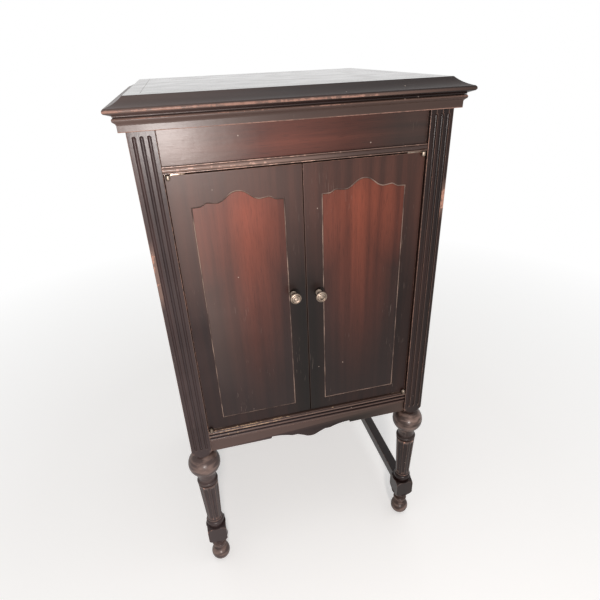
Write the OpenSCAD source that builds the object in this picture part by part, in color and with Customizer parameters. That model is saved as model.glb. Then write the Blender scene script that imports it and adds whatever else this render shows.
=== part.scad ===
// Upright gramophone cabinet on turned legs: a lidded case with fluted corner
// posts, two doors over a horn and record store, and a spring-driven turntable
// under the lid. Millimetres, +Z up, front towards -Y, floor at Z = 0.

/* [Case] */
// Width of the case over its corner posts
case_w = 560; // [480:5:680]
// Depth of the case over its corner posts
case_d = 530; // [500:5:640]
// Width of each square corner post
post_w = 44.4; // [38:0.2:54]
// Height of a leg, from the floor to its post
leg_h = 387; // [320:1:460]
// Height of the door opening
opening_h = 567; // [500:1:680]
// Height of the frieze between its moulding and the cornice
frieze_h = 58.6; // [50:0.2:80]
// How far the post reaches below the apron's straight edge
post_tail = 8; // [4:1:20]
// How far the frieze lies behind the post faces
frieze_recess = 8; // [4:0.5:12]
// Thickness of the side panels
side_t = 12; // [9:0.5:16]
// How far the side panels lie behind the post faces
side_recess = 3; // [1:0.5:6]
// Thickness of the back panel
back_t = 8; // [5:0.5:12]
// Thickness of the front and rear rails
rail_t = 18; // [14:0.5:22]

/* [Mouldings] */
// Height of the cornice under the lid
cornice_h = 22; // [18:0.5:28]
// How far the cornice bead stands out from the posts
cornice_out = 15.2; // [12:0.2:19]
// Height of the strip under the frieze
strip_h = 12; // [9:0.5:16]
// How far the strip stands out from the frieze
strip_out = 6.4; // [4:0.2:8]
// Height of the base rail with its three beads
base_h = 32; // [28:0.5:40]
// Height of the apron's straight ends
apron_h = 30; // [24:0.5:40]
// Thickness of the apron
apron_t = 12; // [8:0.5:16]
// Depth of the drop in the middle of the apron
apron_drop = 17; // [10:0.5:24]

/* [Post flutes] */
// Width of one flute
flute_w = 6.4; // [4:0.1:8]
// Depth of one flute
flute_depth = 2.8; // [1.5:0.1:3.2]
// Distance from flute to flute
flute_pitch = 11.8; // [9:0.1:13]

/* [Legs] */
// Radius of the ball foot
foot_r = 23.5; // [20:0.5:27]
// Width of the square block that takes the stretchers
block_w = 46; // [42:0.5:52]
// Height of the block
block_h = 52; // [44:0.5:64]
// Largest radius of the bulb under the post
bulb_r = 37; // [33.5:0.5:42]
// Radius at the foot of the fluted shank
shank_r0 = 18; // [16:0.5:20.5]
// Radius at the head of the fluted shank
shank_r1 = 23.5; // [21:0.5:26]
// Radius of the tenon that joins leg and post
tenon_r = 9.5; // [7:0.5:12]
// Width of a stretcher
stretcher_w = 25; // [18:0.5:32]
// Height of a stretcher
stretcher_h = 30; // [22:0.5:36]

/* [Lid] */
// Thickness of the lid at its frame
lid_h = 28; // [22:0.5:34]
// How far the lid's rounded edge stands out from the posts
lid_over = 25; // [20:0.5:30]
// Width of the lid frame inside the post faces
lid_rail = 30; // [22:0.5:40]
// Thickness of the lid panel
lid_panel_t = 11; // [8:0.5:13]
// Radius of the lid hinge pin
hinge_pin_r = 2; // [1.5:0.1:2.5]
// Length of each lid hinge
hinge_len = 62; // [45:1:90]

/* [Doors] */
// Thickness of a door
door_t = 20; // [16:0.5:24]
// How far the doors lie behind the post faces
door_recess = 7; // [4:0.5:10]
// Gap between the two doors
door_gap = 1.6; // [1:0.1:3]
// Width of the groove cut round each door panel
groove_w = 1.8; // [1.4:0.1:3]
// Depth of that groove
groove_depth = 1.4; // [0.8:0.1:3]
// Height of the knobs above the door bottoms
knob_rise = 308; // [200:1:380]
// Distance from a knob to the line where the doors meet
knob_in = 26.5; // [20:0.5:40]
// Radius of a knob's head
knob_r = 11.5; // [9:0.5:15]

/* [Inside] */
// Clear height of the record store
record_h = 318; // [270:1:330]
// Number of upright dividers in the record store
divider_n = 4; // [2:1:6]
// Thickness of shelves and bottom board
board_t = 14; // [10:0.5:18]
// Width of the horn's mouth
mouth_w = 410; // [340:5:420]
// Height of the horn's mouth
mouth_h = 150; // [120:1:155]
// Thickness of the horn's boards
horn_t = 8; // [5:0.5:12]

/* [Turntable] */
// Radius of the turntable
platter_r = 150; // [120:1:165]
// Radius of the spindle where a record sits on it
spindle_r = 3.6; // [3.4:0.1:3.9]
// Distance from the arm's pivot to the needle
arm_len = 225; // [200:1:240]
// Radius of the sound box
sound_box_r = 25; // [20:0.5:27]

/* [Crank] */
// Radius of the winding shaft
shaft_r = 5; // [4:0.5:7]
// Throw of the crank
crank_throw = 105; // [80:1:120]
// Length of the crank's wooden handle
handle_len = 62; // [45:1:75]

/* [Hidden] */
$fn = 64;
slip = 0.05;                              // radial clearance of a shaft in its bore
seat = 0.3;                               // gap between faces that pass each other
lid_gap = 0.4;                            // gap between the lid and the case

// levels, from the floor up
post_z = leg_h;
apron_z = post_z + post_tail;
base_z = apron_z + apron_h;
sill_z = base_z + base_h;
head_z = sill_z + opening_h;
frieze_z = head_z + strip_h;
cornice_z = frieze_z + frieze_h;
top_z = cornice_z + cornice_h;
lid_z = top_z + lid_gap;
shelf_z = sill_z + record_h;
horn_z = shelf_z + board_t;
motor_board_t = 14;
deck_z = head_z + motor_board_t;

// plan
knuckle_r = hinge_pin_r + 2;
y_front = -case_d/2;
y_back = y_front + case_d;
half_w = case_w/2;
post_in = half_w - post_w;                // inner face of a post, from the middle
wall_in = half_w - side_recess - side_t;  // inner face of a side panel
back_in = y_back - 4 - back_t;            // inner face of the back panel
leg_x = half_w - post_w/2;
leg_y0 = y_front + post_w/2;
leg_y1 = y_back - post_w/2;

// leg turning, from the floor up and from the post down
glide_h = 3.5;
glide_r = 9;
foot_flat_r = glide_r + 0.7;
foot_c = glide_h + sqrt(pow(foot_r, 2) - pow(foot_flat_r, 2));
block_z = foot_c + foot_r + 38;
ring_z = block_z + block_h + 5;
ring_h = 17;
shank_z0 = ring_z + ring_h + 4;
shank_z1 = leg_h - 97;
collar_r = 24.5;
collar_half = 5;
collar_c = shank_z1 + 8;
bulb_c = leg_h - 32.5;
bulb_arc = 33;
tenon_len = 55;

// door geometry
pivot_leaf_t = 1.5;
door_z0 = sill_z + 2*pivot_leaf_t + seat;
door_z1 = head_z - 2*pivot_leaf_t - seat;
door_x0 = door_gap/2;
door_x1 = post_in - 1;
door_y = y_front + door_recess;
pivot_r = 2;
pivot_eye_r = 4.5;
knuckle_h = 3.6;
eye_ball_r = 3.9;
pivot_x = post_in - 6.6;
pivot_y = door_y - 4;
panel_cx = (door_x0 + door_x1)/2 - 0.6;
panel_half = (door_x1 - door_x0)/2 - 35.4;
panel_z0 = door_z0 + 28.7;
panel_z1 = door_z1 - 58;
knob_z = door_z0 + knob_rise;
knob_len = 27;

// horn and grille
grille_y = door_y + door_t + 5;
grille_t = 12;
horn_y0 = grille_y + grille_t;
throat_w = 96;
throat_h = 52;

// turntable, arm and motor
spindle_x = -15;
spindle_y = y_front + 235;
platter_top = deck_z + 16;
felt_t = 1.5;
record_z = platter_top + felt_t;
arm_pivot_x = 140;
arm_pivot_y = y_front + 402;
horn_y1 = arm_pivot_y - 36;
horn_slope = atan((mouth_h - throat_h)/(horn_y1 - horn_y0));
arm_rest_turn = 14;                       // degrees outwards from straight ahead, at rest
needle_drop = 36;
arm_z = record_z + 0.8 + needle_drop;
box_side = 17;                            // sound box centre, sideways from the arm
motor_low = head_z - 98;
motor_high = head_z - 8;
tooth_m = 1.5;
barrel_teeth = 72;
pinion_teeth = 18;
wheel_m = 1;
wheel_teeth = 60;
governor_teeth = 12;
barrel_x = spindle_x + tooth_m*(barrel_teeth + pinion_teeth)/2;
barrel_r = 46;
governor_x = spindle_x - wheel_m*(wheel_teeth + governor_teeth)/2*cos(45);
governor_y = spindle_y - wheel_m*(wheel_teeth + governor_teeth)/2*sin(45);
main_gear_z = motor_low + 49;
wheel_z = main_gear_z + 11;
shaft_y = spindle_y + barrel_r + 14;
shaft_z = motor_low + 10;
crank_x = half_w + 14;
stay_len = 200;
stay_pivot_y = y_back - 102;
stay_z = top_z - 17;
stay_x = wall_in - 8;

function arc(cx, cy, r, a0, a1, n = 8) =
    [for (i = [0:n]) let (a = a0 + (a1 - a0)*i/n) [cx + r*cos(a), cy + r*sin(a)]];
function flip(points) = [for (i = [len(points)-1:-1:0]) [-points[i][0], points[i][1]]];

// ---------- legs and stretchers ----------

// Two rounded shoulders that a lathe leaves where a square meets a turning
module pommel(z0, z1, r_in, r_round) {
    rotate_extrude() {
        translate([0, z0]) square([r_in, z1 - z0]);
        translate([0, z0 + r_round]) square([r_in + r_round, z1 - z0 - 2*r_round]);
        for (z = [z0 + r_round, z1 - r_round])
            intersection() {
                translate([r_in, z]) circle(r_round);
                translate([0, z0]) square([r_in + r_round, z1 - z0]);
            }
    }
}

module leg_turning() {
    neck_r = 13;
    rotate_extrude() {
        intersection() {
            translate([0, foot_c]) circle(foot_r);
            translate([0, glide_h]) square([foot_r + 1, 2*foot_r]);
        }
        translate([0, foot_c]) square([neck_r, block_z - foot_c]);
        translate([neck_r, foot_c + foot_r + 10]) circle(5);
        translate([0, block_z - 10]) polygon([[0, 0], [neck_r, 0], [block_w/2 - 3.5, 10], [0, 10]]);
        translate([0, block_z - 2]) square([neck_r, block_h + 4]);
        translate([0, block_z + block_h]) square([shank_r0 - 0.5, ring_z - block_z - block_h]);
        translate([0, ring_z]) square([shank_r0 - 4, ring_h]);
        intersection() {
            translate([shank_r0 - 4.7, ring_z + ring_h/2]) circle(ring_h/2);
            translate([0, ring_z]) square([40, ring_h]);
        }
        translate([0, ring_z + ring_h]) square([shank_r0 + 1, shank_z0 - ring_z - ring_h]);
        translate([0, shank_z0]) polygon([[0, 0], [shank_r0, 0], [shank_r1, shank_z1 - shank_z0],
            [0, shank_z1 - shank_z0]]);
        translate([0, shank_z1]) square([collar_r - collar_half, collar_c - shank_z1]);
        translate([collar_r - collar_half, collar_c]) circle(collar_half);
        translate([0, collar_c]) square([collar_r - 4, bulb_c - collar_c]);
        intersection() {
            translate([bulb_r - bulb_arc, bulb_c]) circle(bulb_arc);
            translate([0, shank_z1]) square([bulb_r + 1, leg_h - shank_z1]);
        }
        translate([0, bulb_c]) square([18, leg_h - bulb_c]);
        translate([0, leg_h]) square([tenon_r - slip, tenon_len]);
    }
}

// One leg on its own axis: turned foot and shank, square block, eight flutes
module leg() {
    flute_n = 8;
    r0 = 4.2;
    r1 = 5.6;
    run_z0 = shank_z0 + 10;
    run_z1 = shank_z1 - 12;
    rise = shank_z1 - shank_z0;
    lean = atan((shank_r1 - shank_r0)/rise);
    axis_r = shank_r0 + (run_z0 - shank_z0)*tan(lean) + 1.6;
    color("#2b1d1a")
    union() {
        difference() {
            leg_turning();
            for (i = [0:flute_n-1])
                rotate([0, 0, (i + 0.5)*360/flute_n])
                    translate([axis_r, 0, run_z0]) rotate([0, lean, 0]) {
                        cylinder(h = (run_z1 - run_z0)/cos(lean), r1 = r0, r2 = r1);
                        sphere(r0);
                        translate([0, 0, (run_z1 - run_z0)/cos(lean)]) sphere(r1);
                    }
        }
        intersection() {
            translate([-block_w/2, -block_w/2, block_z]) cube([block_w, block_w, block_h]);
            pommel(block_z, block_z + block_h, block_w/2 - 2.8, 13);
        }
    }
}

module leg_front_left() { translate([-leg_x, leg_y0, 0]) leg(); }
module leg_front_right() { translate([leg_x, leg_y0, 0]) leg(); }
module leg_rear_left() { translate([-leg_x, leg_y1, 0]) leg(); }
module leg_rear_right() { translate([leg_x, leg_y1, 0]) leg(); }

module glides() {
    color("#8a8378")
    for (x = [-leg_x, leg_x], y = [leg_y0, leg_y1])
        translate([x, y, 0]) cylinder(h = glide_h, r1 = glide_r - 1.2, r2 = glide_r);
}

// One stretcher at each side and one at the rear, between the legs' blocks
module stretchers() {
    side = leg_y1 - leg_y0 - block_w;
    rear = 2*leg_x - block_w;
    color("#2b1d1a")
    translate([0, 0, block_z + (block_h - stretcher_h)/2]) {
        for (x = [-leg_x, leg_x])
            translate([x - stretcher_w/2, leg_y0 + block_w/2, 0])
                cube([stretcher_w, side, stretcher_h]);
        translate([-rear/2, leg_y1 - stretcher_w/2, 0]) cube([rear, stretcher_w, stretcher_h]);
    }
}

// ---------- corner posts ----------

// Square post whose foot is turned down to the leg's size
module post_body() {
    half = post_w/2;
    difference() {
        intersection() {
            translate([-half, -half, post_z]) cube([post_w, post_w, top_z - post_z]);
            rotate_extrude()
                translate([0, post_z])
                    polygon([[0, 0], [half - 1.6, 0], [half - 0.9, 1.4], [half + 0.6, 4],
                        [half + 3.4, 8], [half + 7, 13], [half + 9.6, 17.4], [half + 9.6, top_z],
                        [0, top_z]]);
        }
        translate([0, 0, post_z - 1]) cylinder(h = tenon_len + 2, r = tenon_r);
    }
}

// Flutes with round ends on the front face of a post
module post_flutes() {
    r = flute_w/2;
    z0 = post_z + 29;
    z1 = cornice_z - 8 - r;
    for (i = [-1:1])
        translate([i*flute_pitch, -post_w/2 - (r - flute_depth), 0]) {
            translate([0, 0, z0]) cylinder(h = z1 - z0, r = r, $fn = 32);
            for (z = [z0, z1]) translate([0, 0, z]) sphere(r, $fn = 32);
        }
}

module fluted_post() { color("#2b1d1a") difference() { post_body(); post_flutes(); } }
module plain_post() { color("#2b1d1a") post_body(); }
module post_front_left() { translate([-leg_x, leg_y0, 0]) fluted_post(); }
module post_front_right() { translate([leg_x, leg_y0, 0]) fluted_post(); }
module post_rear_left() { translate([-leg_x, leg_y1, 0]) plain_post(); }
module post_rear_right() { translate([leg_x, leg_y1, 0]) plain_post(); }

// ---------- case ----------

module side_panel(shaft_hole) {
    color("#33201b")
    difference() {
        translate([wall_in, y_front + post_w, apron_z])
            cube([side_t, case_d - 2*post_w, top_z - apron_z]);
        if (shaft_hole)
            translate([wall_in - 1, shaft_y, shaft_z]) rotate([0, 90, 0])
                cylinder(h = side_t + 2, r = shaft_r + 4);
    }
}
module side_panel_left() { mirror([1, 0, 0]) side_panel(false); }
module side_panel_right() { side_panel(true); }

module rear_top_rail() {
    color("#33201b")
    translate([-post_in, y_back - rail_t, head_z]) cube([2*post_in, rail_t, top_z - head_z]);
}

module back_panel() {
    color("#4a382c")
    translate([-post_in, back_in, apron_z]) cube([2*post_in, back_t, head_z - apron_z]);
}

module frieze_panel() {
    color("#3a211b")
    translate([-post_in, y_front + frieze_recess, head_z])
        cube([2*post_in, rail_t, top_z - head_z]);
}

// Strip under the frieze: a half round between two fine fillets
module frieze_moulding() {
    fillet_h = 1.6;
    r = strip_h/2 - fillet_h;
    color("#3a211b")
    translate([-post_in, y_front + frieze_recess, head_z]) rotate([90, 0, 90])
        linear_extrude(2*post_in)
            union() {
                translate([-strip_out + r, 0]) square([strip_out - r, strip_h]);
                intersection() {
                    translate([-strip_out + r, strip_h/2]) circle(r);
                    translate([-strip_out, 0]) square([r + 0.01, strip_h]);
                }
                for (z = [0, strip_h - fillet_h])
                    translate([-strip_out + 1.2, z]) square([strip_out - 1.2, fillet_h]);
            }
}

// Bottom rail of the door opening, with three beads worked on its face
module base_rail() {
    bead_r = [4.6, 3.9, 3.9];
    bead_z = [base_h - 5.2, base_h - 16, base_h - 26.4];
    bead_out = [5.4, 4, 3.4];
    color("#3a211b")
    translate([-post_in, y_front + door_recess + 0.6, base_z]) rotate([90, 0, 90])
        linear_extrude(2*post_in)
            union() {
                square([rail_t, base_h]);
                translate([-bead_out[0] + 1.4, base_h - 1.2]) square([bead_out[0], 1.2]);
                for (i = [0:2])
                    intersection() {
                        translate([-bead_out[i] + bead_r[i], bead_z[i]]) circle(bead_r[i]);
                        translate([-8, 0]) square([12, base_h]);
                    }
            }
}

// Straight ends, a stepped arch on each side and a round drop in the middle
function apron_half() = concat(
    arc(0, -apron_drop + 30, 30, 270, 307, 5),
    [[34, -4], [44, -4]],
    arc(95, 5 - 132.5, 132.5, 111, 90, 6),
    [[97, 0], [post_in, 0]]);
module apron() {
    color("#3a211b")
    translate([0, y_front + frieze_recess + apron_t, apron_z]) rotate([90, 0, 0])
        linear_extrude(apron_t)
            polygon(concat(apron_half(), [[post_in, apron_h], [-post_in, apron_h]],
                flip([for (i = [1:len(apron_half())-1]) apron_half()[i]])));
}

// A moulding along +X from x = 0, outwards to -Y, mitred where m0 or m1 is 1.
// Its children are the section: x is outwards from the case, y is up.
module moulding_run(length, inner, outer, m0, m1) {
    intersection() {
        translate([-outer, 0, 0]) rotate([90, 0, 90]) linear_extrude(length + 2*outer)
            mirror([1, 0]) children();
        linear_extrude(lid_z + lid_h + 10)
            polygon([[inner*m0, inner], [length - inner*m1, inner],
                [length + outer*m1, -outer], [-outer*m0, -outer]]);
    }
}

// The same moulding on the front and both sides of the case
module three_sided(inner, outer) {
    translate([-half_w, y_front, 0]) moulding_run(case_w, inner, outer, 1, 1) children();
    for (side = [0, 1])
        mirror([side, 0, 0]) translate([half_w, y_front, 0]) rotate([0, 0, 90])
            moulding_run(case_d, inner, outer, 1, 0) children();
}

// Cornice section: a tall fillet, a small cove and a bead
module cornice_section() {
    bead_r = 3.8;
    difference() {
        union() {
            square([cornice_out - 5.2, cornice_h]);
            translate([0, cornice_h - 2*bead_r]) square([cornice_out - bead_r, 2*bead_r]);
            translate([0, cornice_h - 13]) square([cornice_out - 2.4, 7]);
            translate([cornice_out - bead_r, cornice_h - bead_r]) circle(bead_r, $fn = 32);
        }
        translate([cornice_out - 0.2, cornice_h - 12.2]) circle(5, $fn = 32);
    }
}
// The cornice, with the packing that brings the frieze and sides out to the posts
module cornice() {
    color("#33201b")
    translate([0, 0, cornice_z])
        union() {
            three_sided(0, cornice_out) cornice_section();
            translate([-post_in, y_front - 1, 0]) cube([2*post_in, frieze_recess + 1, cornice_h]);
            for (x = [-half_w - 1, half_w - side_recess])
                translate([x, y_front + post_w, 0])
                    cube([side_recess + 1, case_d - 2*post_w, cornice_h]);
        }
}

// Floor-like board that fills the case between its panels, cut round the posts
module case_board(z, t, y0, y1) {
    corner = half_w - post_in;
    difference() {
        translate([-wall_in, y0, z]) cube([2*wall_in, y1 - y0, t]);
        for (x = [-half_w, post_in])
            for (y = [y_front, y_back - post_w])
                translate([x, y, z - 1]) cube([corner, post_w, t + 2]);
    }
}

module bottom_board() {
    color("#5a3b2a")
    case_board(sill_z - board_t, board_t, y_front + door_recess + 0.6 + rail_t, back_in);
}

module horn_shelf() {
    color("#5a3b2a") case_board(shelf_z, board_t, grille_y, back_in);
}

module record_dividers() {
    t = 6;
    y0 = y_front + 70;
    color("#6b4a34")
    for (i = [1:divider_n])
        translate([-wall_in + i*2*wall_in/(divider_n + 1) - t/2, y0, sill_z])
            cube([t, case_d - 160, record_h]);
}

module motor_board_cleats() {
    s = 15;
    y0 = y_front + post_w + 10;
    color("#5a3b2a") {
        for (side = [0, 1])
            mirror([side, 0, 0]) translate([wall_in - s, y0, head_z - s])
                cube([s, case_d - 2*post_w - 20, s]);
        translate([-post_in + 10, back_in - s, head_z - s]) cube([2*post_in - 20, s, s]);
    }
}

module motor_board() {
    color("#4a2a1f")
    difference() {
        case_board(head_z, motor_board_t, y_front + frieze_recess + rail_t, y_back - rail_t);
        translate([spindle_x, spindle_y, head_z - 1]) cylinder(h = motor_board_t + 2, r = 14);
        translate([arm_pivot_x, arm_pivot_y, head_z - 1])
            cylinder(h = motor_board_t + 2, r = 17);
        for (p = [[brake_x, brake_y], [dial_x, dial_y]])
            translate([p[0], p[1], head_z - 1]) cylinder(h = motor_board_t + 2, r = 3, $fn = 32);
        for (x = cup_x) translate([x, cup_y, head_z - 1])
            cylinder(h = motor_board_t + 2, r = cup_r + slip);
    }
}

// Two spring catches on the front edge of the horn's shelf, one for each door
module door_catches() {
    plate_w = 22;
    color("#b3a68a")
    for (x = [-36 - plate_w/2, 36 - plate_w/2])
        translate([x, 0, shelf_z + 2])
            union() {
                translate([0, grille_y - 2, 0]) cube([plate_w, 2, 10]);
                translate([plate_w/2, grille_y - 1, 5]) rotate([90, 0, 0])
                    cylinder(h = grille_y - 1 - door_y - door_t - seat, r = 3, $fn = 32);
            }
}

// ---------- grille and horn ----------

// Frame of two stiles and two rails, with upright bars in front of the horn's mouth.
// Each is a piece of its own, set between its neighbours with a hair of glue line.
module grille() {
    bar_n = 9;
    bar_w = 8;
    bar_t = 8;
    rail_h = 17;
    stile_w = post_in - mouth_w/2 + 10;
    open_w = 2*post_in - 2*stile_w;
    open_h = mouth_h - 22;
    height = head_z - horn_z;
    color("#3a211b")
    translate([0, grille_y, horn_z]) {
        for (x = [-post_in, post_in - stile_w])
            translate([x, 0, 0]) cube([stile_w, grille_t, height]);
        translate([slip - open_w/2, 0, 0]) cube([open_w - 2*slip, grille_t, rail_h]);
        translate([slip - open_w/2, 0, rail_h + open_h])
            cube([open_w - 2*slip, grille_t, height - rail_h - open_h]);
        for (i = [1:bar_n])
            translate([-open_w/2 + i*open_w/(bar_n + 1) - bar_w/2, (grille_t - bar_t)/2, rail_h + slip])
                cube([bar_w, bar_t, open_h - 2*slip]);
    }
}

// Plan of the horn between its side boards, grown outwards by a margin
module horn_plan(margin) {
    linear_extrude(head_z)
        polygon([[-mouth_w/2 - margin, horn_y0], [mouth_w/2 + margin, horn_y0],
            [throat_w/2 + margin, horn_y1], [-throat_w/2 - margin, horn_y1]]);
}

// Space under the sloping top board, from the horn's floor up
module under_slope(extra) {
    translate([0, horn_y1, horn_z + throat_h + extra]) rotate([-horn_slope, 0, 0])
        translate([-case_w/2, -2*case_d, -case_d]) cube([case_w, 3*case_d, case_d]);
}

module horn_top_board() {
    color("#7a5a40")
    intersection() {
        horn_plan(horn_t);
        difference() { under_slope(horn_t/cos(horn_slope)); under_slope(0); }
    }
}

module horn_side_boards() {
    color("#7a5a40")
    difference() {
        intersection() {
            horn_plan(horn_t);
            under_slope(0);
            translate([-half_w, horn_y0, horn_z]) cube([case_w, case_d, head_z - horn_z]);
        }
        translate([0, 0, -1]) horn_plan(0);
    }
}

// Cast pipe that carries the sound from the arm's base down, in and forward
module throat_pipe(r) {
    pipe_z = horn_z + throat_h/2;
    translate([arm_pivot_x, arm_pivot_y, pipe_z]) {
        cylinder(h = head_z - pipe_z, r = r);
        sphere(r);
        rotate([0, -90, 0]) cylinder(h = arm_pivot_x, r = r);
    }
    translate([0, arm_pivot_y, pipe_z]) {
        sphere(r);
        rotate([90, 0, 0]) cylinder(h = arm_pivot_y - horn_y1, r = r);
    }
}
module horn_throat() {
    pipe_r = 19;
    flange_w = throat_w + 2*horn_t;
    color("#3b3a38")
    difference() {
        union() {
            throat_pipe(pipe_r);
            translate([arm_pivot_x, arm_pivot_y, head_z - 5]) cylinder(h = 5, r = pipe_r + 12);
            translate([-flange_w/2, horn_y1, horn_z]) cube([flange_w, 6, throat_h + horn_t]);
        }
        throat_pipe(pipe_r - 4);
        translate([arm_pivot_x, arm_pivot_y, head_z - 10]) cylinder(h = 20, r = pipe_r - 4);
        translate([0, horn_y1 + 10, horn_z + throat_h/2]) rotate([90, 0, 0])
            cylinder(h = 20, r = pipe_r - 4);
    }
}

// ---------- doors ----------

// Half of the panel's top, from its middle outwards: hump, hollow, shoulder, corner
function panel_top(s) = [for (p = concat(
    arc(0, -4.5, 26.5, 90, 57, 5),
    arc(40, 28.7, 24.4, 235, 268, 5),
    arc(54, -2.6, 9, 108, 48, 4),
    [[66.5, 0.7]])) s*p];
function panel_outline(half, z0, z1) =
    let (top = [for (p = panel_top(half/81.5)) [p[0], z1 + p[1]]])
    concat(top, [[half, z1], [half, z0], [-half, z0], [-half, z1]],
        flip([for (i = [1:len(top)-1]) top[i]]));

// The outline's points moved sideways by d, along the mean of the two sides' normals
function shifted(points, d) = let (n = len(points)) [for (i = [0:n-1])
    let (a = points[(i + n - 1) % n], b = points[i], c = points[(i + 1) % n],
        u = (b - a)/norm(b - a), v = (c - b)/norm(c - b),
        m = [u[1] + v[1], -u[0] - v[0]])
    b + m*d*2/(m*m)];

module panel_groove() {
    line = panel_outline(panel_half, panel_z0, panel_z1);
    translate([panel_cx, door_y + groove_depth, 0]) rotate([90, 0, 0])
        linear_extrude(groove_depth + 1)
            difference() {
                polygon(shifted(line, -groove_w/2));
                polygon(shifted(line, groove_w/2));
            }
}

module door() {
    color("#4a2419")
    difference() {
        translate([door_x0, door_y, door_z0])
            cube([door_x1 - door_x0, door_t, door_z1 - door_z0]);
        panel_groove();
    }
}
module door_right() { door(); }
module door_left() { mirror([1, 0, 0]) door(); }

// Turned brass knob on its rose, axis along -Y from the door's face
module knob(inset, z) {
    head_t = 9;
    color("#b09a6a")
    translate([inset, door_y, z]) rotate([90, 0, 0])
        rotate_extrude() {
            square([6.6, 3]);
            square([4.2, knob_len - 3]);
            translate([0, 3]) square([5.2, 2]);
            translate([0, knob_len - head_t]) square([knob_r - 2, head_t - 2.5]);
            translate([knob_r - 3, knob_len - head_t + 3.6]) circle(3, $fn = 32);
            translate([0, knob_len - 3]) square([knob_r - 4.2, 2]);
            translate([0, knob_len - 1]) square([knob_r - 7, 1]);
        }
}
// The right knob was fitted a little lower and nearer the gap than the left one
module knob_right() { knob(knob_in - 2, knob_z - 4.5); }
module knob_left() { mirror([1, 0, 0]) knob(knob_in + 1, knob_z); }

// Leaf of a pivot hinge: a strap along the door with an eye in front of its face
module pivot_leaf(z) {
    strap_len = 34;
    strap_w = 13;
    translate([0, 0, z])
        linear_extrude(pivot_leaf_t) {
            translate([pivot_x, pivot_y]) circle(pivot_eye_r, $fn = 32);
            translate([pivot_x - 3, pivot_y]) square([6, 8]);
            translate([pivot_x - strap_len + 5, door_y + 1.6]) square([strap_len, strap_w]);
        }
}

// The doors' leaves end in a round knuckle in front of the face, with a blind hole
module door_pivots_right() {
    color("#b3a68a")
    for (top = [0, 1])
        difference() {
            union() {
                pivot_leaf(top ? door_z1 : door_z0 - pivot_leaf_t);
                translate([pivot_x, pivot_y, top ? door_z1 - knuckle_h : door_z0])
                    cylinder(h = knuckle_h, r = eye_ball_r, $fn = 32);
                translate([pivot_x, pivot_y, top ? door_z1 - knuckle_h : door_z0 + knuckle_h])
                    sphere(eye_ball_r, $fn = 32);
            }
            translate([pivot_x, pivot_y, top ? door_z1 - seat : door_z0 - pivot_leaf_t - 1])
                cylinder(h = pivot_leaf_t + 1 + seat, r = pivot_r + slip, $fn = 32);
        }
}
module door_pivots_left() { mirror([1, 0, 0]) door_pivots_right(); }

module case_pivots() {
    color("#b3a68a")
    for (side = [0, 1])
        mirror([side, 0, 0]) {
            union() {
                pivot_leaf(head_z - pivot_leaf_t);
                translate([pivot_x, pivot_y, door_z1]) cylinder(h = head_z - door_z1, r = pivot_r);
            }
            union() {
                pivot_leaf(sill_z);
                translate([pivot_x, pivot_y, sill_z]) cylinder(h = door_z0 - sill_z, r = pivot_r);
            }
        }
}

// ---------- lid ----------

// Lid frame section: shallow cove above a rounded thumb edge, stepped in below
module lid_section() {
    thumb_r = 4.2;
    thumb_z = 9.3;
    cove_r = 60;
    arris = [-5, lid_h];
    toe = [lid_over - 2, thumb_z + thumb_r - 0.2];
    mid = (arris + toe)/2;
    chord = norm(toe - arris);
    up = [arris[1] - toe[1], toe[0] - arris[0]]/chord;
    middle = mid + up*sqrt(pow(cove_r, 2) - pow(chord/2, 2));
    difference() {
        union() {
            translate([-lid_rail, thumb_z - thumb_r])
                square([lid_rail + lid_over - thumb_r, lid_h - thumb_z + thumb_r]);
            translate([lid_over - thumb_r, thumb_z]) circle(thumb_r, $fn = 32);
            polygon([[-lid_rail, 0], [lid_over - 11.5, 0], [lid_over - 11.5, 2],
                [lid_over - 6.5, 4], [lid_over - thumb_r, thumb_z - thumb_r],
                [lid_over - thumb_r, thumb_z], [-lid_rail, thumb_z]]);
        }
        intersection() {
            translate(middle) circle(cove_r, $fn = 96);
            translate([arris[0], 0]) square([60, 60]);
        }
    }
}

module lid_frame() {
    color("#2b1d1a")
    translate([0, 0, lid_z]) {
        three_sided(lid_rail, lid_over + 1) lid_section();
        translate([-half_w + lid_rail, y_back - lid_rail, 0])
            cube([case_w - 2*lid_rail, lid_rail, lid_h]);
    }
}

module lid_panel() {
    color("#33201b")
    translate([-half_w + lid_rail, y_front + lid_rail, lid_z + lid_h - lid_panel_t])
        cube([case_w - 2*lid_rail, case_d - 2*lid_rail, lid_panel_t]);
}

// Lid hinges stand on the back: three knuckles below, two above
hinge_x = half_w - 110;
hinge_y = y_back + knuckle_r + seat;
hinge_z = top_z + lid_gap/2;
leaf_t = 2;
leaf_h = 20;
knuckle_len = hinge_len/5;
module hinge_knuckle(i, bore_r) {
    gap = 0.2;
    translate([i*knuckle_len + gap, hinge_y, hinge_z]) rotate([0, 90, 0])
        difference() {
            cylinder(h = knuckle_len - 2*gap, r = knuckle_r, $fn = 32);
            if (bore_r > 0)
                translate([0, 0, -1]) cylinder(h = knuckle_len + 2, r = bore_r, $fn = 32);
        }
}
module hinge_web(i, up) {
    translate([i*knuckle_len + 0.2, y_back, up > 0 ? hinge_z : hinge_z - 5])
        cube([knuckle_len - 0.4, leaf_t, 5]);
}
module lid_hinge_leaves() {
    color("#b3a68a")
    for (x = [-hinge_x - hinge_len/2, hinge_x - hinge_len/2])
        translate([x, 0, 0])
            difference() {
                union() {
                    translate([0, y_back, hinge_z + 4.6]) cube([hinge_len, leaf_t, leaf_h - 4.6]);
                    for (i = [1, 3]) { hinge_knuckle(i, 0); hinge_web(i, 1); }
                }
                translate([-1, hinge_y, hinge_z]) rotate([0, 90, 0])
                    cylinder(h = hinge_len + 2, r = hinge_pin_r + slip, $fn = 32);
            }
}
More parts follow.
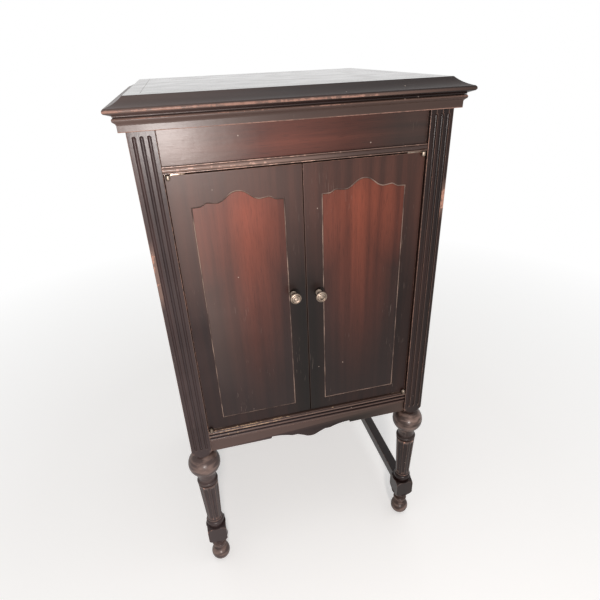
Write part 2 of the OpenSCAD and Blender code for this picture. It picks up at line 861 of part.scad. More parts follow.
module case_hinge_leaves() {
    color("#b3a68a")
    for (x = [-hinge_x - hinge_len/2, hinge_x - hinge_len/2])
        translate([x, 0, 0])
            union() {
                translate([0, y_back, hinge_z - leaf_h]) cube([hinge_len, leaf_t, leaf_h - 4.6]);
                for (i = [0, 2, 4]) { hinge_knuckle(i, 0); hinge_web(i, -1); }
                translate([0.2, hinge_y, hinge_z]) rotate([0, 90, 0])
                    cylinder(h = hinge_len - 0.4, r = hinge_pin_r, $fn = 32);
            }
}

// Stay that holds the lid up: a flat arm on a bracket on the right wall
stay_t = 3;
stay_w = 12;
module stay_bracket() {
    color("#b3a68a")
    union() {
        translate([wall_in - 2, stay_pivot_y - 16, stay_z - 12]) cube([2, 32, 24]);
        translate([stay_x - stay_t - 2.5, stay_pivot_y, stay_z]) rotate([0, 90, 0])
            cylinder(h = wall_in - stay_x + stay_t + 2.5, r = 2.5, $fn = 32);
        translate([stay_x + seat, stay_pivot_y, stay_z]) rotate([0, 90, 0])
            cylinder(h = wall_in - stay_x - seat, r = 5, $fn = 32);
        translate([stay_x - stay_t - 2.5, stay_pivot_y, stay_z]) rotate([0, 90, 0])
            cylinder(h = 2.5 - seat, r = 5, $fn = 32);
    }
}
module lid_stay() {
    color("#b3a68a")
    translate([stay_x - stay_t, stay_pivot_y, stay_z]) rotate([0, 90, 0])
        difference() {
            union() {
                cylinder(h = stay_t, r = stay_w/2, $fn = 32);
                translate([-stay_w/2, -stay_len, 0]) cube([stay_w, stay_len, stay_t]);
                translate([0, -stay_len, 0]) cylinder(h = stay_t, r = stay_w/2, $fn = 32);
            }
            translate([0, 0, -1]) cylinder(h = stay_t + 2, r = 2.5 + slip, $fn = 32);
        }
}

// ---------- turntable ----------

module platter() {
    rim_h = 12;
    color("#9a9a94")
    translate([spindle_x, spindle_y, platter_top]) rotate_extrude()
        difference() {
            union() {
                translate([0, -3]) square([platter_r - 3, 3]);
                translate([platter_r - 4, -rim_h]) square([4, rim_h - 3]);
                translate([platter_r - 3, -3]) circle(3, $fn = 32);
                translate([0, -rim_h + 2]) square([16, rim_h - 2]);
            }
            translate([-0.01, -rim_h - 1]) square([shaft_r + 0.01, rim_h + 2]);
        }
}

module platter_felt() {
    color("#3c5a3a")
    translate([spindle_x, spindle_y, platter_top])
        difference() {
            cylinder(h = felt_t, r = platter_r - 4);
            translate([0, 0, -1]) cylinder(h = felt_t + 2, r = spindle_r + 1);
        }
}

// Gear outline with straight-sided teeth and a little backlash
function gear_points(teeth, m) = let (rp = teeth*m/2, step = 360/teeth,
        ro = rp + 0.8*m, ri = rp - 1.1*m) [
    for (i = [0:teeth-1]) for (k = [[ri, -0.33], [ro, -0.1], [ro, 0.1], [ri, 0.33]])
        [k[0]*cos((i + k[1])*step), k[0]*sin((i + k[1])*step)]];
module gear(teeth, m, thickness) { linear_extrude(thickness) polygon(gear_points(teeth, m)); }

module spindle() {
    color("#a9a7a0")
    translate([spindle_x, spindle_y, 0]) {
        union() {
            translate([0, 0, motor_low - 4]) cylinder(h = platter_top + 4 - motor_low, r = shaft_r);
            translate([0, 0, platter_top - 1]) cylinder(h = felt_t + 8.5, r = spindle_r);
            translate([0, 0, record_z + 7.5]) cylinder(h = 3, r1 = spindle_r, r2 = 1.6);
            translate([0, 0, platter_top - 16]) cylinder(h = 6, r = 12);
            translate([0, 0, main_gear_z - 1.5]) rotate([0, 0, 180/pinion_teeth])
                gear(pinion_teeth, tooth_m, 9);
            translate([0, 0, wheel_z]) rotate([0, 0, 225]) gear(wheel_teeth, wheel_m, 4);
        }
    }
}

module spring_barrel() {
    color("#8f8b80")
    translate([barrel_x, spindle_y, 0])
        difference() {
            union() {
                translate([0, 0, main_gear_z]) gear(barrel_teeth, tooth_m, 6);
                translate([0, 0, main_gear_z - 33]) cylinder(h = 33.5, r = barrel_r);
            }
            translate([0, 0, main_gear_z - 40]) cylinder(h = 60, r = 6 + slip);
        }
}

// Wheel on the spring's arbor, driven by the worm on the winding shaft
module winding_wheel() {
    wheel_r = barrel_r + 14 - 7.5 - seat;
    color("#a08a50")
    translate([barrel_x, spindle_y, 0])
        union() {
            translate([0, 0, motor_low - 4]) cylinder(h = motor_high - motor_low + 10, r = 6);
            translate([0, 0, shaft_z - 4]) cylinder(h = 8, r = wheel_r);
        }
}

// Centrifugal governor: three weights on bowed springs round an upright shaft
module governor() {
    low = motor_low + 14;
    high = wheel_z - 10;
    color("#a9a7a0")
    translate([governor_x, governor_y, 0])
        union() {
            translate([0, 0, motor_low - 4])
                cylinder(h = motor_high - motor_low + 10, r = 2.5, $fn = 32);
            translate([0, 0, wheel_z - 1]) rotate([0, 0, 45 + 180/governor_teeth])
                gear(governor_teeth, wheel_m, 6);
            translate([0, 0, low - 3]) cylinder(h = 3, r = 7, $fn = 32);
            translate([0, 0, high]) cylinder(h = 3, r = 13, $fn = 32);
            for (a = [0, 120, 240]) rotate([0, 0, a]) {
                translate([5, -1.5, low - 1]) cube([1, 3, high + 2 - low]);
                translate([5.5, -3, (low + high)/2 - 5]) cube([7, 6, 10]);
            }
        }
}

// Two plates on four pillars, with bearings for every shaft of the motor
module motor_frame() {
    plate_x0 = governor_x - 24;
    plate_x1 = barrel_x + barrel_r + 22;
    plate_y0 = spindle_y - 68;
    plate_y1 = shaft_y + 16;
    pillar = 7;
    color("#3b3a38")
    difference() {
        union() {
            translate([plate_x0, plate_y0, motor_high])
                cube([plate_x1 - plate_x0, plate_y1 - plate_y0, head_z - motor_high]);
            translate([plate_x0, plate_y0, motor_low - 5])
                cube([plate_x1 - plate_x0, plate_y1 - plate_y0, 6]);
            for (x = [plate_x0 + 8, plate_x1 - 8], y = [plate_y0 + 8, plate_y1 - 8])
                translate([x, y, motor_low]) cylinder(h = motor_high - motor_low, r = pillar);
            translate([plate_x1 - 13, shaft_y - 11, motor_low]) cube([8, 22, motor_high - motor_low]);
        }
        translate([spindle_x, spindle_y, motor_low - 10])
            cylinder(h = 120, r = shaft_r + slip);
        translate([barrel_x, spindle_y, motor_low - 10]) cylinder(h = 120, r = 6 + slip);
        translate([governor_x, governor_y, motor_low - 10])
            cylinder(h = 120, r = 2.5 + slip, $fn = 32);
        translate([plate_x1 - 20, shaft_y, shaft_z]) rotate([0, 90, 0])
            cylinder(h = 30, r = shaft_r + slip);
    }
}

// ---------- arm and sound box ----------

module tone_arm_base() {
    color("#b09a6a")
    translate([arm_pivot_x, arm_pivot_y, 0])
        difference() {
            union() {
                translate([0, 0, deck_z]) cylinder(h = 5, r = 30);
                translate([0, 0, deck_z + 5]) cylinder(h = 3, r1 = 27, r2 = 18);
                translate([0, 0, head_z]) cylinder(h = arm_z - 14 - head_z, r = 16.6);
            }
            translate([0, 0, head_z - 1]) cylinder(h = 100, r = 12);
        }
}

// Everything that swings with the arm is drawn pointing to -Y, then turned
module at_arm() {
    translate([arm_pivot_x, arm_pivot_y, arm_z]) rotate([0, 0, arm_rest_turn]) children();
}

arm_joint = arm_len - 26;                 // distance from the pivot to the turning joint
module tone_arm() {
    head_r = 17;
    color("#b09a6a")
    at_arm()
        difference() {
            union() {
                translate([0, 0, -14 + seat]) cylinder(h = 26, r = head_r);
                translate([0, 0, 12 + seat]) cylinder(h = 3, r1 = head_r, r2 = head_r - 5);
                translate([0, 0, -30]) cylinder(h = 17, r = 12 - slip);
                rotate([90, 0, 0]) cylinder(h = arm_joint - 12, r1 = 13, r2 = 9);
                translate([0, -arm_joint + 14, 0]) rotate([90, 0, 0]) cylinder(h = 14, r = 11);
            }
            translate([0, -arm_joint + 10, 0]) rotate([90, 0, 0])
                cylinder(h = 20, r = 7);
        }
}

// Elbow that turns on the arm, with the sound box upright beside it
module sound_box() {
    back = 6;
    color("#b09a6a")
    at_arm()
        union() {
            translate([0, -arm_joint + 9.7, 0]) rotate([90, 0, 0]) cylinder(h = 16, r = 7 - slip);
            translate([0, -arm_joint - seat, 0]) rotate([90, 0, 0]) cylinder(h = 26, r = 9);
            translate([0, -arm_len, 0]) sphere(10);
            translate([0, -arm_len, 0]) rotate([0, -90, 0]) cylinder(h = box_side - back, r = 8);
            translate([-box_side + back, -arm_len, 0]) rotate([0, -90, 0])
                difference() {
                    cylinder(h = 12, r = sound_box_r);
                    translate([0, 0, 9]) cylinder(h = 4, r = sound_box_r - 4);
                }
            translate([-box_side - 6, -arm_len - 2.5, -sound_box_r - 3])
                cube([4, 5, sound_box_r + 5]);
            translate([-box_side - 4, -arm_len, -sound_box_r - 1]) rotate([0, 180, 0])
                cylinder(h = 4, r = 2.6, $fn = 32);
        }
}

module needle() {
    color("#c9c9c4")
    at_arm()
        translate([-box_side - 4, -arm_len, -needle_drop])
            union() {
                translate([0, 0, 3]) cylinder(h = needle_drop - sound_box_r - 8, r = 0.8, $fn = 16);
                cylinder(h = 3, r1 = 0.1, r2 = 0.8, $fn = 16);
            }
}

// ---------- small fittings on the motor board ----------

brake_x = spindle_x - (platter_r + 29)*cos(37.5);
brake_y = spindle_y - (platter_r + 29)*sin(37.5);
module brake_lever() {
    color("#b09a6a")
    translate([brake_x, brake_y, deck_z])
        union() {
            translate([0, 0, -motor_board_t])
                cylinder(h = motor_board_t + 1, r = 3 - slip, $fn = 32);
            translate([0, 0, seat]) cylinder(h = 6, r = 7, $fn = 32);
            translate([0, -3, seat]) cube([27, 6, 4]);
            translate([-38, -2.5, seat]) cube([36, 5, 4]);
            translate([-38, 0, seat]) cylinder(h = 9, r = 4.5, $fn = 32);
            translate([20, -6, seat]) cube([8, 12, 9]);
        }
}

// Dial that sets the governor's speed
dial_x = 88;
dial_y = y_front + 64;
module speed_dial() {
    color("#b09a6a")
    translate([dial_x, dial_y, deck_z])
        union() {
            translate([0, 0, -motor_board_t])
                cylinder(h = motor_board_t + 1, r = 3 - slip, $fn = 32);
            translate([0, 0, seat]) cylinder(h = 2.5, r = 15);
            translate([0, 0, seat + 2]) cylinder(h = 9, r = 8);
            translate([-1.5, 7, seat + 1]) cube([3, 7, 3]);
        }
}

cup_r = 20;
cup_x = [150, 205];
cup_y = y_front + 70;
module needle_cups() {
    color("#b3a68a")
    for (x = cup_x) translate([x, cup_y, 0])
        difference() {
            union() {
                translate([0, 0, deck_z]) cylinder(h = 1.5, r = cup_r + 3);
                translate([0, 0, deck_z - 12]) cylinder(h = 12, r = cup_r);
            }
            translate([0, 0, deck_z - 10.5]) cylinder(h = 20, r = cup_r - 1.5);
        }
}

// ---------- winding gear ----------

module escutcheon() {
    color("#b3a68a")
    translate([half_w - side_recess, shaft_y, shaft_z]) rotate([0, 90, 0])
        difference() {
            union() {
                cylinder(h = 2, r = 21);
                translate([0, 0, 2]) cylinder(h = 3, r1 = 12, r2 = 10);
            }
            translate([0, 0, -1]) cylinder(h = 10, r = shaft_r + slip);
        }
}

module winding_shaft() {
    x0 = barrel_x - 16;
    color("#a9a7a0")
    translate([0, shaft_y, shaft_z]) rotate([0, 90, 0])
        union() {
            translate([0, 0, x0]) cylinder(h = crank_x + 6 - x0, r = shaft_r);
            translate([0, 0, x0]) cylinder(h = 32, r = 7.5);
        }
}

// Crank: a hub pinned on the shaft, an arm hanging down and a pin for the handle
module crank() {
    arm_t = 8;
    color("#a9a7a0")
    translate([crank_x, shaft_y, shaft_z]) rotate([0, 90, 0])
        difference() {
            union() {
                translate([0, 0, -2]) cylinder(h = 14, r = 10);
                translate([0, -6, 2]) cube([crank_throw, 12, arm_t]);
                translate([crank_throw, 0, 2]) cylinder(h = arm_t, r = 9);
                translate([crank_throw, 0, 2]) cylinder(h = arm_t + handle_len + 3, r = 3, $fn = 32);
                translate([crank_throw, 0, arm_t + 2 + handle_len + 2*seat])
                    cylinder(h = 3, r = 5, $fn = 32);
            }
            translate([0, 0, -3]) cylinder(h = 9, r = shaft_r);
        }
}

module crank_handle() {
    z0 = 10 + seat;
    color("#3a211b")
    translate([crank_x, shaft_y, shaft_z]) rotate([0, 90, 0]) translate([crank_throw, 0, z0])
        rotate_extrude()
            difference() {
                intersection() {
                    translate([13 - 100, handle_len/2]) circle(100, $fn = 128);
                    square([13, handle_len]);
                }
                translate([-0.01, -1]) square([3 + slip + 0.01, handle_len + 2]);
            }
}

leg_front_left();
leg_front_right();
leg_rear_left();
leg_rear_right();
glides();
post_front_left();
post_front_right();
post_rear_left();
post_rear_right();
stretchers();
side_panel_left();
side_panel_right();
back_panel();
rear_top_rail();
frieze_panel();
frieze_moulding();
base_rail();
apron();
cornice();
bottom_board();
horn_shelf();
record_dividers();
grille();
horn_top_board();
horn_side_boards();
horn_throat();
motor_board();
motor_board_cleats();
door_catches();
door_left();
door_right();
knob_left();
knob_right();
door_pivots_left();
door_pivots_right();
case_pivots();
lid_panel();
lid_frame();
lid_hinge_leaves();
case_hinge_leaves();
stay_bracket();
lid_stay();
platter();
platter_felt();
spindle();
tone_arm_base();
tone_arm();
sound_box();
needle();
brake_lever();
speed_dial();
needle_cups();
escutcheon();
winding_shaft();
crank();
crank_handle();
motor_frame();
spring_barrel();
governor();
winding_wheel();
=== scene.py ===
"""Finish, light and camera for the gramophone cabinet, laid out as a Blender add-on.

Sizes are written in millimetres and scaled once, when a piece is finished. Places come
from the frame's own nodes, so every piece sits where the cabinet's joints expect it.
Masks in materials are placed in metres, on Object coordinates.
"""
from functools import partial
from math import cos, degrees, hypot, pi, radians, sin, sqrt

import bmesh
import bpy
from mathutils import Matrix, Vector


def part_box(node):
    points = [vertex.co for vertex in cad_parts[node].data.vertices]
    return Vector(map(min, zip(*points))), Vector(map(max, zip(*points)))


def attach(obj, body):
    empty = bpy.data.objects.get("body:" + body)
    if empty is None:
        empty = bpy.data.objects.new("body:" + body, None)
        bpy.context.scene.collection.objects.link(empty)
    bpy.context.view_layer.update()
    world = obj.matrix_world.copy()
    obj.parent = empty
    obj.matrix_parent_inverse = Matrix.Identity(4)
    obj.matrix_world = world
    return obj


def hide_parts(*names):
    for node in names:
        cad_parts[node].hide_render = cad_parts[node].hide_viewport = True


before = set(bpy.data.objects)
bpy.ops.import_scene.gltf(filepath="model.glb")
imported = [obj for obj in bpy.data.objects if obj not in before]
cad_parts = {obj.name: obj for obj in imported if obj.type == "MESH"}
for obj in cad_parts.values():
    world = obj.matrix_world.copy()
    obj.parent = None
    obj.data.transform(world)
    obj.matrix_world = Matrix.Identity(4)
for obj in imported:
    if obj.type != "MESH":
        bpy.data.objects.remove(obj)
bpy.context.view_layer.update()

bl_info = {
    "name": "Gramophone cabinet",
    "version": (1, 0, 0),
    "blender": (4, 5, 0),
    "location": "3D View > Sidebar > Cabinet",
    "description": "Builds the finished pieces of an upright gramophone cabinet",
    "category": "Object",
}

MM = 0.001


def corners(*names):
    """Lowest and highest corner of the named nodes together, in millimetres."""
    boxes = [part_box(name) for name in names]
    low = Vector([min(box[0][i] for box in boxes) for i in range(3)]) / MM
    high = Vector([max(box[1][i] for box in boxes) for i in range(3)]) / MM
    return low, high


def linear(hexcode):
    """sRGB hex to linear colour values."""
    parts = [int(hexcode[i:i + 2], 16) / 255 for i in (1, 3, 5)]
    return [p / 12.92 if p <= 0.04045 else ((p + 0.055) / 1.055) ** 2.4 for p in parts]


# ---------- sizes and colours that a user may change ----------

def length(name, description, default):
    """A size property, its default in millimetres."""
    return bpy.props.FloatProperty(
        name=name, description=description, default=default * MM, unit="LENGTH", precision=5)


def colour(name, description, default):
    """A colour property, its default in sRGB hex."""
    return bpy.props.FloatVectorProperty(
        name=name, description=description, default=linear(default), subtype="COLOR",
        size=3, min=0.0, max=1.0)


class CabinetSizes(bpy.types.PropertyGroup):
    """Sizes of the small shapes that are worked on the pieces."""
    arris: length("Arris", "Radius of the rubbed edges of doors and apron", 0.9)
    groove_width: length("Groove width", "Width of the groove round a door panel", 1.8)
    groove_depth: length("Groove depth", "Depth of the groove round a door panel", 1.4)
    flute_width: length("Flute width", "Width of a flute on a post", 6.4)
    flute_depth: length("Flute depth", "Depth of a flute on a post", 2.8)
    flute_pitch: length("Flute pitch", "Distance from flute to flute on a post", 11.8)
    steps: bpy.props.IntProperty(
        name="Turning steps", description="Facets round each turned leg", default=128)


class CabinetColours(bpy.types.PropertyGroup):
    """Colours of the finishes."""
    lacquer: colour("Lacquer", "Nearly black brown of the aged lacquer", "#1b100e")
    lacquer_warm: colour("Warm lacquer", "Brown where the lacquer is thinner", "#3a231d")
    # Painted haze of light, screened over the left side of the front.
    painted_haze: colour("Bleached lacquer", "Greyer lacquer where daylight falls", "#393132")
    # This colour is also laid as painted haze of light on the left and the tops of the front.
    dust_and_painted_haze: colour("Dust", "Dust and bloom on the lacquer", "#8a746b")
    glow: colour("Panel glow", "Red brown at the heart of a door panel", "#894532")
    bare: colour("Rubbed wood", "Wood on edges where the lacquer has gone", "#c09684")
    brass: colour("Brass", "Aged brass of knobs and small fittings", "#a8988a")
    felt: colour("Felt", "Felt on the turntable", "#2f4a34")
    floor: colour("Floor", "Pale floor under the cabinet", "#efeeec")


# ---------- shapes ----------

def arc(cx, cy, r, start, end, steps):
    """Points along an arc, angles in degrees."""
    turns = [radians(start + (end - start) * i / steps) for i in range(steps + 1)]
    return [(cx + r * cos(a), cy + r * sin(a)) for a in turns]


def softened(points, radius):
    """The closed outline with each sharp corner rounded, so that edges catch light and wear."""
    sharp, steps = radians(24), 3
    made = []
    for i, point in enumerate(points):
        here = Vector(point)
        before = Vector(points[i - 1]) - here
        after = Vector(points[(i + 1) % len(points)]) - here
        shortest = min(before.length, after.length)
        if shortest < 1e-6 or pi - before.angle(after) < sharp:
            made.append(tuple(here))
            continue
        half = before.angle(after) / 2
        reach = min(radius / max(0.2, sin(half)) * cos(half), shortest * 0.45)
        a = here + before.normalized() * reach
        b = here + after.normalized() * reach
        for k in range(steps + 1):
            t = k / steps
            made.append(tuple(a * (1 - t) ** 2 + here * 2 * t * (1 - t) + b * t ** 2))
    return made


def turned(profile, steps):
    """A turning round +Z through (radius, height) points."""
    bm = bmesh.new()
    verts = [bm.verts.new((r, 0, z)) for r, z in profile]
    edges = [bm.edges.new(pair) for pair in zip(verts, verts[1:])]
    bmesh.ops.spin(bm, geom=verts + edges, cent=(0, 0, 0), axis=(0, 0, 1), angle=2 * pi,
                   steps=steps, use_merge=True)
    bmesh.ops.remove_doubles(bm, verts=bm.verts, dist=0.002)
    return bm


def swept(sections):
    """A solid drawn through sections, each with the same number of points."""
    bm = bmesh.new()
    ring = [bm.verts.new(point) for point in sections[0]]
    face = bm.faces.new(ring)
    for section in sections[1:]:
        index = {tuple(vert.co): i for i, vert in enumerate(ring)}
        made = bmesh.ops.extrude_face_region(bm, geom=[face])["geom"]
        face = next(item for item in made if isinstance(item, bmesh.types.BMFace))
        ring = sorted(face.verts, key=lambda vert: index[tuple(vert.co)])
        for vert, point in zip(ring, section):
            vert.co = point
    return bm


def rounded(bm, edges, radius):
    """Rounds those edges of a mesh."""
    bmesh.ops.bevel(bm, geom=edges, offset=radius, offset_type="OFFSET", segments=3,
                    affect="EDGES", profile=0.5, material=-1, clamp_overlap=True)


def board(bm, low, high, arris):
    """A board between two corners with rubbed edges, added to a mesh."""
    low, high = Vector(low), Vector(high)
    made = bmesh.ops.create_cube(bm, size=1.0)["verts"]
    bmesh.ops.scale(bm, vec=high - low, verts=made)
    bmesh.ops.translate(bm, vec=(low + high) / 2, verts=made)
    rounded(bm, list(dict.fromkeys(edge for vert in made for edge in vert.link_edges)), arris)
    return bm


def mark_wear(bm, rub):
    """Writes 1 on outward edges, where hands and dusters rub the lacquer through.
    `rub` corrects the amount by place, as on the ridges of soft mouldings, and on one side of each
    flute of the right post, where the pale line is partly a painted highlight."""
    first_worn, all_worn = 17, 29  # degrees that the surface turns at an edge
    sawn_end = 9  # sides of a face from which it is the end of a moulding
    layer = bm.verts.layers.float.new("wear")
    for edge in bm.edges:
        # The edges of sawn ends butt against other pieces, and stay sound.
        sides = [len(face.verts) for face in edge.link_faces]
        if len(sides) == 2 and max(sides) < sawn_end:
            turn = degrees(edge.calc_face_angle_signed(0.0))
            amount = min(1.0, max(0.0, (turn - first_worn) / (all_worn - first_worn)))
            for vert in edge.verts:
                vert[layer] = max(vert[layer], amount)
    if rub:
        for vert in bm.verts:
            vert[layer] = rub(vert.co, vert[layer])


def finished(bm, name, body, slot, stands_for, *finishes, smooth=34, turning=False, rub=None):
    """Turns a mesh in millimetres into a piece that rides on its body."""
    bmesh.ops.recalc_face_normals(bm, faces=bm.faces)
    mark_wear(bm, rub)
    bmesh.ops.scale(bm, vec=(MM, MM, MM), verts=bm.verts)
    mesh = bpy.data.meshes.new(name)
    bm.to_mesh(mesh)
    bm.free()
    mesh.shade_smooth()
    mesh.set_sharp_from_angle(angle=radians(smooth))
    piece = bpy.data.objects.new(name, mesh)
    bpy.context.scene.collection.objects.link(piece)
    for finish in finishes:
        mesh.materials.append(coat(finish))
    if not turning:
        even = piece.modifiers.new("even shading on flats", "WEIGHTED_NORMAL")
        even.keep_sharp = True
    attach(piece, body)
    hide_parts(*stands_for)


# ---------- materials ----------

def node(tree, kind, inputs=(), out=0, **settings):
    """Adds one shader node. Its inputs come in order, or by name, as values or as other
    nodes' outputs. Returns its output `out`, or the node itself where `out` is None."""
    made = tree.nodes.new("ShaderNode" + kind)
    for key, value in settings.items():
        setattr(made, key, value)
    for key, value in inputs.items() if isinstance(inputs, dict) else enumerate(inputs):
        if isinstance(value, bpy.types.NodeSocket):
            tree.links.new(value, made.inputs[key])
        else:
            made.inputs[key].default_value = value
    return made if out is None else made.outputs[out]


def blank(name):
    """A new material, and `node` bound to its empty tree. In what a MapRange is given, the
    value is stretched from the first pair of numbers to the second, or else to 0 and 1."""
    material = bpy.data.materials.new(name)
    material.use_nodes = True
    material.node_tree.nodes.clear()
    return material, partial(node, material.node_tree)


def pattern(add, size, detail=2.0, turn=(0, 0, 0)):
    """Noise whose spots measure about `size` millimetres along X, Y and Z."""
    mapped = add("Mapping", {
        "Vector": add("TexCoord", out="Object"), "Rotation": [radians(a) for a in turn],
        "Scale": [1 / (s * MM) for s in size]})
    return add("TexNoise", {"Vector": mapped, "Scale": 1.0, "Detail": detail}, "Fac")


def along(grain, length_mm, width_mm):
    """Pattern size for wood whose grain runs along X, Y or Z."""
    return [length_mm if axis == grain else width_mm for axis in "XYZ"]


def rgba(value):
    """Four linear values from sRGB hex or from a colour property."""
    return [*(linear(value) if isinstance(value, str) else value), 1.0]


def coats_over(add, ground, *coats, blend="MIX"):
    """The ground colour with each coat, a (mask, colour) pair, laid over it in turn."""
    for mask, shade in coats:
        ground = add("Mix", {0: mask, 6: ground, 7: shade}, 2, data_type="RGBA", blend_type=blend)
    return ground


def place_in(add, axis):
    """One coordinate of the point being shaded, in metres."""
    return add("SeparateXYZ", [add("TexCoord", out="Object")], axis)


def sunburst(add, cx, cz, wide, tall, mirrored=False):
    """1 at a centre on the front, fading to 0 at that many millimetres from it."""
    place = add("TexCoord", out="Object")
    if mirrored:
        place = add("VectorMath", [place], operation="ABSOLUTE")
    mapped = add("Mapping", {
        "Vector": place, "Location": (-cx / wide, 0, -cz / tall),
        "Scale": (1 / (wide * MM), 0, 1 / (tall * MM))})
    return add("TexGradient", [mapped], "Fac", gradient_type="SPHERICAL")


def lacquered(name, grain, glow=None, wear=1.0, chips=1.0, polish=0.22, bare=None, dust_and_painted_haze=None,
              figure=1.0, film=0.2, foot=1.0, line=0.5, darkening=None):
    """Old lacquer over mahogany. Ribbon figure and pores run along the grain, the film
    is cloudy and finely scratched, and the wood shows pale where edges are rubbed.

    `glow`, `dust_and_painted_haze` and `darkening` give masks for red wood, pale bloom and darker
    film. The bloom is real dust on the legs and painted haze of light on the front, and the darker
    film is painted shade on the apron. `wear` is how far edges are rubbed to `bare` wood and `line`
    how pale they are beside it, `chips` how often the film is chipped, `figure` how strong the
    ribbon is, `foot` how much of the painted haze of light on the left reaches the floor, `film`
    and `polish` are the top gloss."""
    colours = bpy.context.scene.cabinet_colours
    material, add = blank(name)
    ribbon = pattern(add, along(grain, 560, 15), 2.5)
    # Pores a third of a millimetre wide are drawn three times as wide, so that they show.
    pores = pattern(add, along(grain, 22, 0.9), 1.0)
    streaks = pattern(add, along(grain, 75, 9), 4.0)
    cloud = pattern(add, (110, 110, 110), 3.0)
    patches = pattern(add, (70, 70, 70), 2.0)
    dents = pattern(add, (14, 14, 14), 2.0)
    crumbs = pattern(add, (7, 7, 7), 5.0)
    height = place_in(add, "Z")

    # The ribbon figure is painted stronger high on the front: painted light, where the light
    # reaches it.
    tint = add("MapRange", (ribbon, 0.36, 0.66))
    upper = add("MapRange", (height, 0.62, 1.02, 0.25, 1.0))
    cloudy = add("MapRange", (cloud, 0.3, 0.7, 0.5 * figure, figure))
    cloudy = add("Math", (upper, cloudy), operation="MULTIPLY")
    tint = add("Math", (tint, cloudy), operation="MULTIPLY")
    wood = coats_over(add, rgba(colours.lacquer), (tint, rgba(colours.lacquer_warm)))
    if glow:
        amount = add("MapRange", (ribbon, 0.3, 0.62, 0.6, 1.0))
        amount = add("Math", (glow(add), amount), operation="MULTIPLY")
        wood = coats_over(add, wood, (amount, rgba(colours.glow)))
    wood = coats_over(add, wood, (add("MapRange", (pores, 0.56, 0.7, 0.0, 0.3)), rgba("#0d0807")))

    # Painted haze of light: the left side is screened lighter and greyer where the light falls,
    # less towards the floor and in clouds.
    left = add("MapRange", (place_in(add, "X"), 0.12, -0.27, 0.0, 0.85))
    for fading in ((height, 0.45, 1.0, foot, 1.0), (cloud, 0.25, 0.65, 0.55, 1.0)):
        left = add("Math", (left, add("MapRange", fading)), operation="MULTIPLY")
    wood = coats_over(add, wood, (left, rgba(colours.painted_haze)), blend="SCREEN")
    # Pale bloom: real dust on the legs, and painted haze of light on the front.
    if dust_and_painted_haze:
        wood = coats_over(add, wood, (dust_and_painted_haze(add), rgba(colours.dust_and_painted_haze)))
    # Darker film: painted shade on the apron, and darker lacquer down the middle of the doors.
    if darkening:
        wood = coats_over(add, wood, (darkening(add), rgba("#0f0e0c")))

    # Scratches finer than a pixel are drawn about half a millimetre wide, so that they show.
    scratch = add("MapRange", (pattern(add, (0.8, 0.8, 26), 0.0, (24, 40, 12)), 0.76, 0.79))
    scratched = add("MapRange", (patches, 0.6, 0.66, 0.0, 0.22))
    scratch = add("Math", (scratch, scratched), operation="MULTIPLY")
    # One cell in five, for chips of 1, holds a fleck about two millimetres across.
    cells = add("TexVoronoi", {
        "Vector": add("TexCoord", out="Object"), "Scale": 1 / (26 * MM)}, None).outputs
    fleck = add("MapRange", (cells["Distance"], 0.05, 0.03))
    lot = add("SeparateColor", [cells["Color"]])
    chosen = add("MapRange", (lot, 1 - 0.2 * chips, 1.001 - 0.2 * chips))
    fleck = add("Math", (fleck, chosen), operation="MULTIPLY")
    marks = add("Math", (fleck, scratch), operation="MAXIMUM")

    # Edges are rubbed through in crumbs and streaks, and pale beside the bare wood.
    edge = add("Attribute", out="Fac", attribute_name="wear")
    halved = [add("Math", (part, 0.5), operation="MULTIPLY") for part in (crumbs, streaks, edge)]
    grit = add("Math", halved[:2], operation="ADD")
    grit = add("Math", (halved[2], grit), operation="ADD")
    rubbed = add("MapRange", (grit, 1.05 - 0.05 * wear, 1.09 - 0.05 * wear))
    ground = coats_over(add, rgba("#7a4f3f"), (crumbs, rgba(bare or colours.bare)))
    thinned = add("Math", (edge, line), operation="MULTIPLY")
    wood = coats_over(add, wood, (thinned, rgba("#94786c")), (marks, rgba("#a8978c")),
                      (rubbed, ground))

    rough = add("MapRange", (cloud, 0.25, 0.75, 0.36, 0.46))
    dry = add("Math", (rubbed, 0.62), operation="MULTIPLY")
    rough = add("Math", (rough, dry), operation="MAXIMUM")
    relief = add("Math", (pores, -0.35), operation="MULTIPLY")
    for part in (dents, streaks):
        relief = add("Math", (relief, part), operation="ADD")
    bump = add("Bump", {"Strength": 0.16, "Distance": 0.0006, "Height": relief})
    add("OutputMaterial", {"Surface": add("BsdfPrincipled", {
        "Base Color": wood, "Roughness": rough, "IOR": 1.45, "Normal": bump,
        "Specular IOR Level": 0.16, "Coat Weight": film, "Coat Roughness": polish,
        "Coat Normal": bump})}, None)
    return material


def panel_glow(add):
    """Red heart of a door panel: widest under the shaped top, a tongue below, gone at the foot."""
    tongue = sunburst(add, 106, 935, 112, 480, mirrored=True)
    tongue = add("Math", (tongue, tongue), operation="MULTIPLY")
    heart = sunburst(add, 106, 945, 180, 180, mirrored=True)
    heart = add("Math", (tongue, heart), operation="MAXIMUM")
    # The right panel's red is a little duller all over, painted shade where less light reaches it,
    # and the left one's towards the middle.
    x = place_in(add, "X")
    outer = add("MapRange", (x, 0.12, 0.2, 1.0, 0.82))
    inner = add("MapRange", (x, -0.04, -0.1, 0.72, 1.0))
    sides = add("Math", (outer, inner), operation="MULTIPLY")
    right = add("MapRange", (x, 0.0, 0.01, 0.0, 0.82))
    sides = add("Math", (sides, right), operation="MAXIMUM")
    return add("Math", (heart, sides), operation="MULTIPLY")


def frieze_glow(add):
    """Red brown middle of the frieze, shaded dark towards both posts."""
    return add("Math", (sunburst(add, -30, 1065, 210, 210), 0.47), operation="MULTIPLY")


